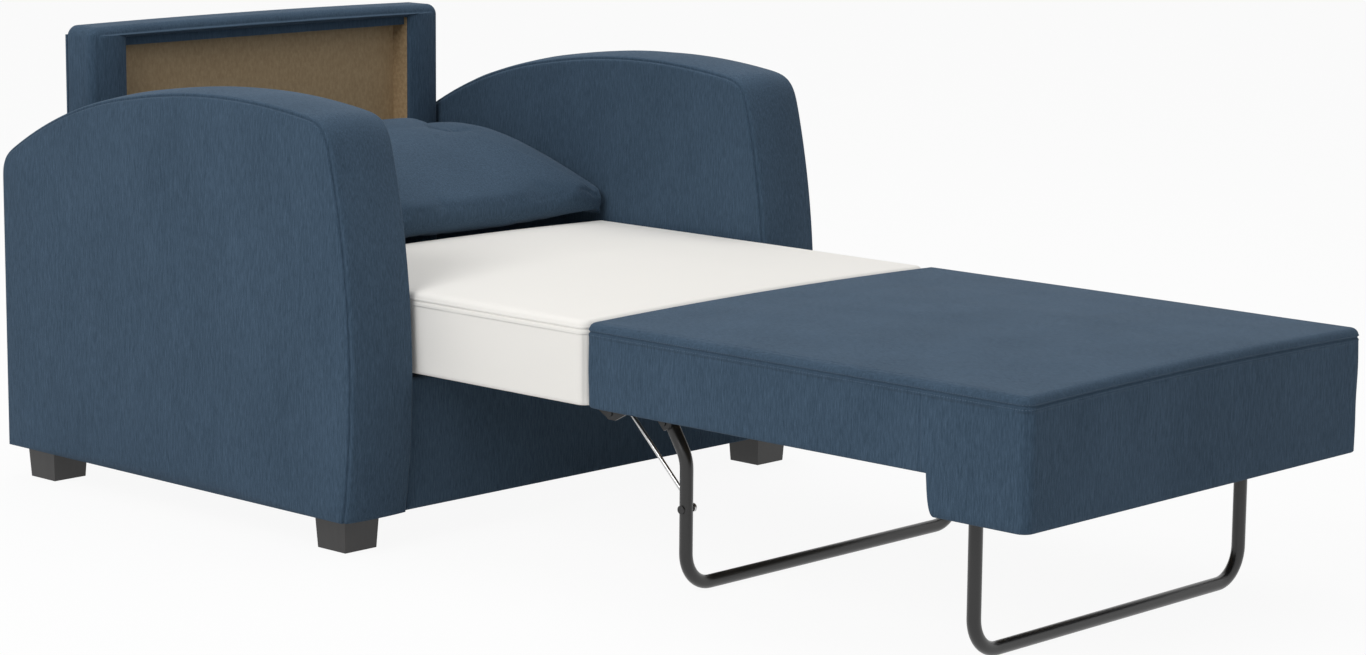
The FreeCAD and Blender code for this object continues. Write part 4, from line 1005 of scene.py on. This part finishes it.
def make_world(strength: float) -> None:
    """A white world: plain white to the camera, an even soft light to the object."""
    world = bpy.data.worlds.new("white")
    bpy.context.scene.world = world
    world.use_nodes = True
    tree = world.node_tree
    tree.nodes.clear()
    path = tree.nodes.new("ShaderNodeLightPath")
    first = tree.nodes.new("ShaderNodeMath")
    first.operation = "MAXIMUM"
    second = tree.nodes.new("ShaderNodeMath")
    second.operation = "MAXIMUM"
    tree.links.new(path.outputs["Is Camera Ray"], first.inputs[0])
    tree.links.new(path.outputs["Is Glossy Ray"], first.inputs[1])
    tree.links.new(first.outputs[0], second.inputs[0])
    tree.links.new(path.outputs["Is Transmission Ray"], second.inputs[1])
    power = tree.nodes.new("ShaderNodeMapRange")
    power.inputs["To Min"].default_value = strength
    power.inputs["To Max"].default_value = 1.0
    tree.links.new(second.outputs[0], power.inputs["Value"])
    back = tree.nodes.new("ShaderNodeBackground")
    back.inputs["Color"].default_value = (1.0, 1.0, 1.0, 1.0)
    tree.links.new(power.outputs["Result"], back.inputs["Strength"])
    out = tree.nodes.new("ShaderNodeOutputWorld")
    tree.links.new(back.outputs[0], out.inputs["Surface"])


@dataclass(frozen=True)
class Lamp:
    """One soft rectangular lamp."""

    name: str
    place: tuple[float, float, float]
    aim: tuple[float, float, float]
    size: float
    watts: float

    def build(self) -> None:
        """Hang the lamp so that it faces its aim."""
        data = bpy.data.lights.new(self.name, "AREA")
        data.size = self.size
        data.energy = self.watts
        lamp = bpy.data.objects.new(self.name, data)
        lamp.location = self.place
        lamp.rotation_mode = "QUATERNION"
        lamp.rotation_quaternion = (Vector(self.aim) - Vector(self.place)).to_track_quat("-Z", "Y")
        bpy.context.scene.collection.objects.link(lamp)


LAMPS = (
    Lamp("key", (-4.2, -0.6, 3.6), (0.0, 0.0, 0.3), 2.6, 120.0),
    Lamp("over", (0.6, 0.9, 4.2), (0.0, 0.0, 0.2), 3.2, 62.0),
)


def make_camera() -> None:
    """The photograph's view: a long lens from the front and the sitter's right."""
    azimuth, elevation, roll = (math.radians(a) for a in (-46.66, 9.714, 0.505))
    back = Vector((math.sin(azimuth) * math.cos(elevation), -math.cos(azimuth) * math.cos(elevation),
                   math.sin(elevation)))
    flat_right = Vector((math.cos(azimuth), math.sin(azimuth), 0.0))
    flat_up = back.cross(flat_right)
    right = math.cos(roll) * flat_right + math.sin(roll) * flat_up
    up = -math.sin(roll) * flat_right + math.cos(roll) * flat_up
    data = bpy.data.cameras.new("camera")
    data.sensor_width = 36.0
    data.lens = 94.0
    camera = bpy.data.objects.new("camera", data)
    turn = Matrix((right, up, back)).transposed()
    camera.matrix_world = Matrix.Translation((-3.7933, -3.6105, 1.1958)) @ turn.to_4x4()
    bpy.context.scene.collection.objects.link(camera)
    bpy.context.scene.camera = camera


# Putting it together


def paint_nodes(frame: dict, materials: dict[Slot, bpy.types.Material]) -> None:
    """Give every CAD node the finish of its slot in the record."""
    for row in frame["record"]["subparts"]:
        node = frame["nodes"].get(row["node"])
        if node is None:
            continue
        finish = materials[Slot(row["material_slot"])]
        if not node.material_slots:
            node.data.materials.append(finish)
        for place in node.material_slots:
            place.material = finish


def make_covers(blue: bpy.types.Material, white: bpy.types.Material, thread: bpy.types.Material) -> None:
    """Every dressed piece of the chair and of both sections."""
    for side, sign in (("right", -1), ("left", 1)):
        ArmCover(side, sign).build(blue)
    back = BackCover().shell().build(Body.CHAIR, Slot.BLUE, blue)
    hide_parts("back_cover")
    apron = ApronCover().shell().build(Body.CHAIR, Slot.BLUE, blue)
    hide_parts("apron_cover")

    sections = (
        (SectionCover("mattress_fabric", -192.5 * MM, 503.5 * MM, Body.MIDDLE,
                      ("middle_cover", "middle_foam"), half=368.4 * MM, belly=0.8 * MM),
         white, Slot.WHITE),
        (SectionCover("seat_fabric", -967.5 * MM, -198.5 * MM, Body.SEAT,
                      ("seat_cover", "seat_foam", "valance_front", "valance_returns"),
                      flap=55 * MM, seed=8), blue, Slot.BLUE),
    )
    for cover, finish, slot in sections:
        shell = cover.shell()
        piece = shell.build(cover.body, slot, finish)
        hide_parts(*cover.replaced)
        if slot is Slot.BLUE:
            low, high = cover.seam_columns()
            rows = []
            for column in (low, high):
                line = np.vstack([shell.points[:, column], shell.points[:1, column]])
                ways = np.vstack([shell.normals[:, column], shell.normals[:1, column]])
                rows.append((line, ways))
            stitches("seat_stitching", rows, cover.body, thread)
    Cushion().build(blue)


def main() -> None:
    """Load the frame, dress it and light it."""
    logging.basicConfig(level=logging.INFO, format="%(message)s")
    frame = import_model()
    blue = cloth_material(BLUE_CLOTH)
    white = cloth_material(WHITE_CLOTH)
    materials = {slot: solid_material(finish) for slot, finish in SOLIDS.items()}
    materials.update({Slot.BLUE: blue, Slot.WHITE: white, Slot.FOAM: cloth_material(FOAM_FINISH)})
    paint_nodes(frame, materials)
    make_covers(blue, white, cloth_material(THREAD))
    make_floor()
    make_world(0.42)
    for lamp in LAMPS:
        lamp.build()
    make_camera()
    bpy.context.scene.view_settings.view_transform = "Standard"


if __name__ == "__main__":
    main()
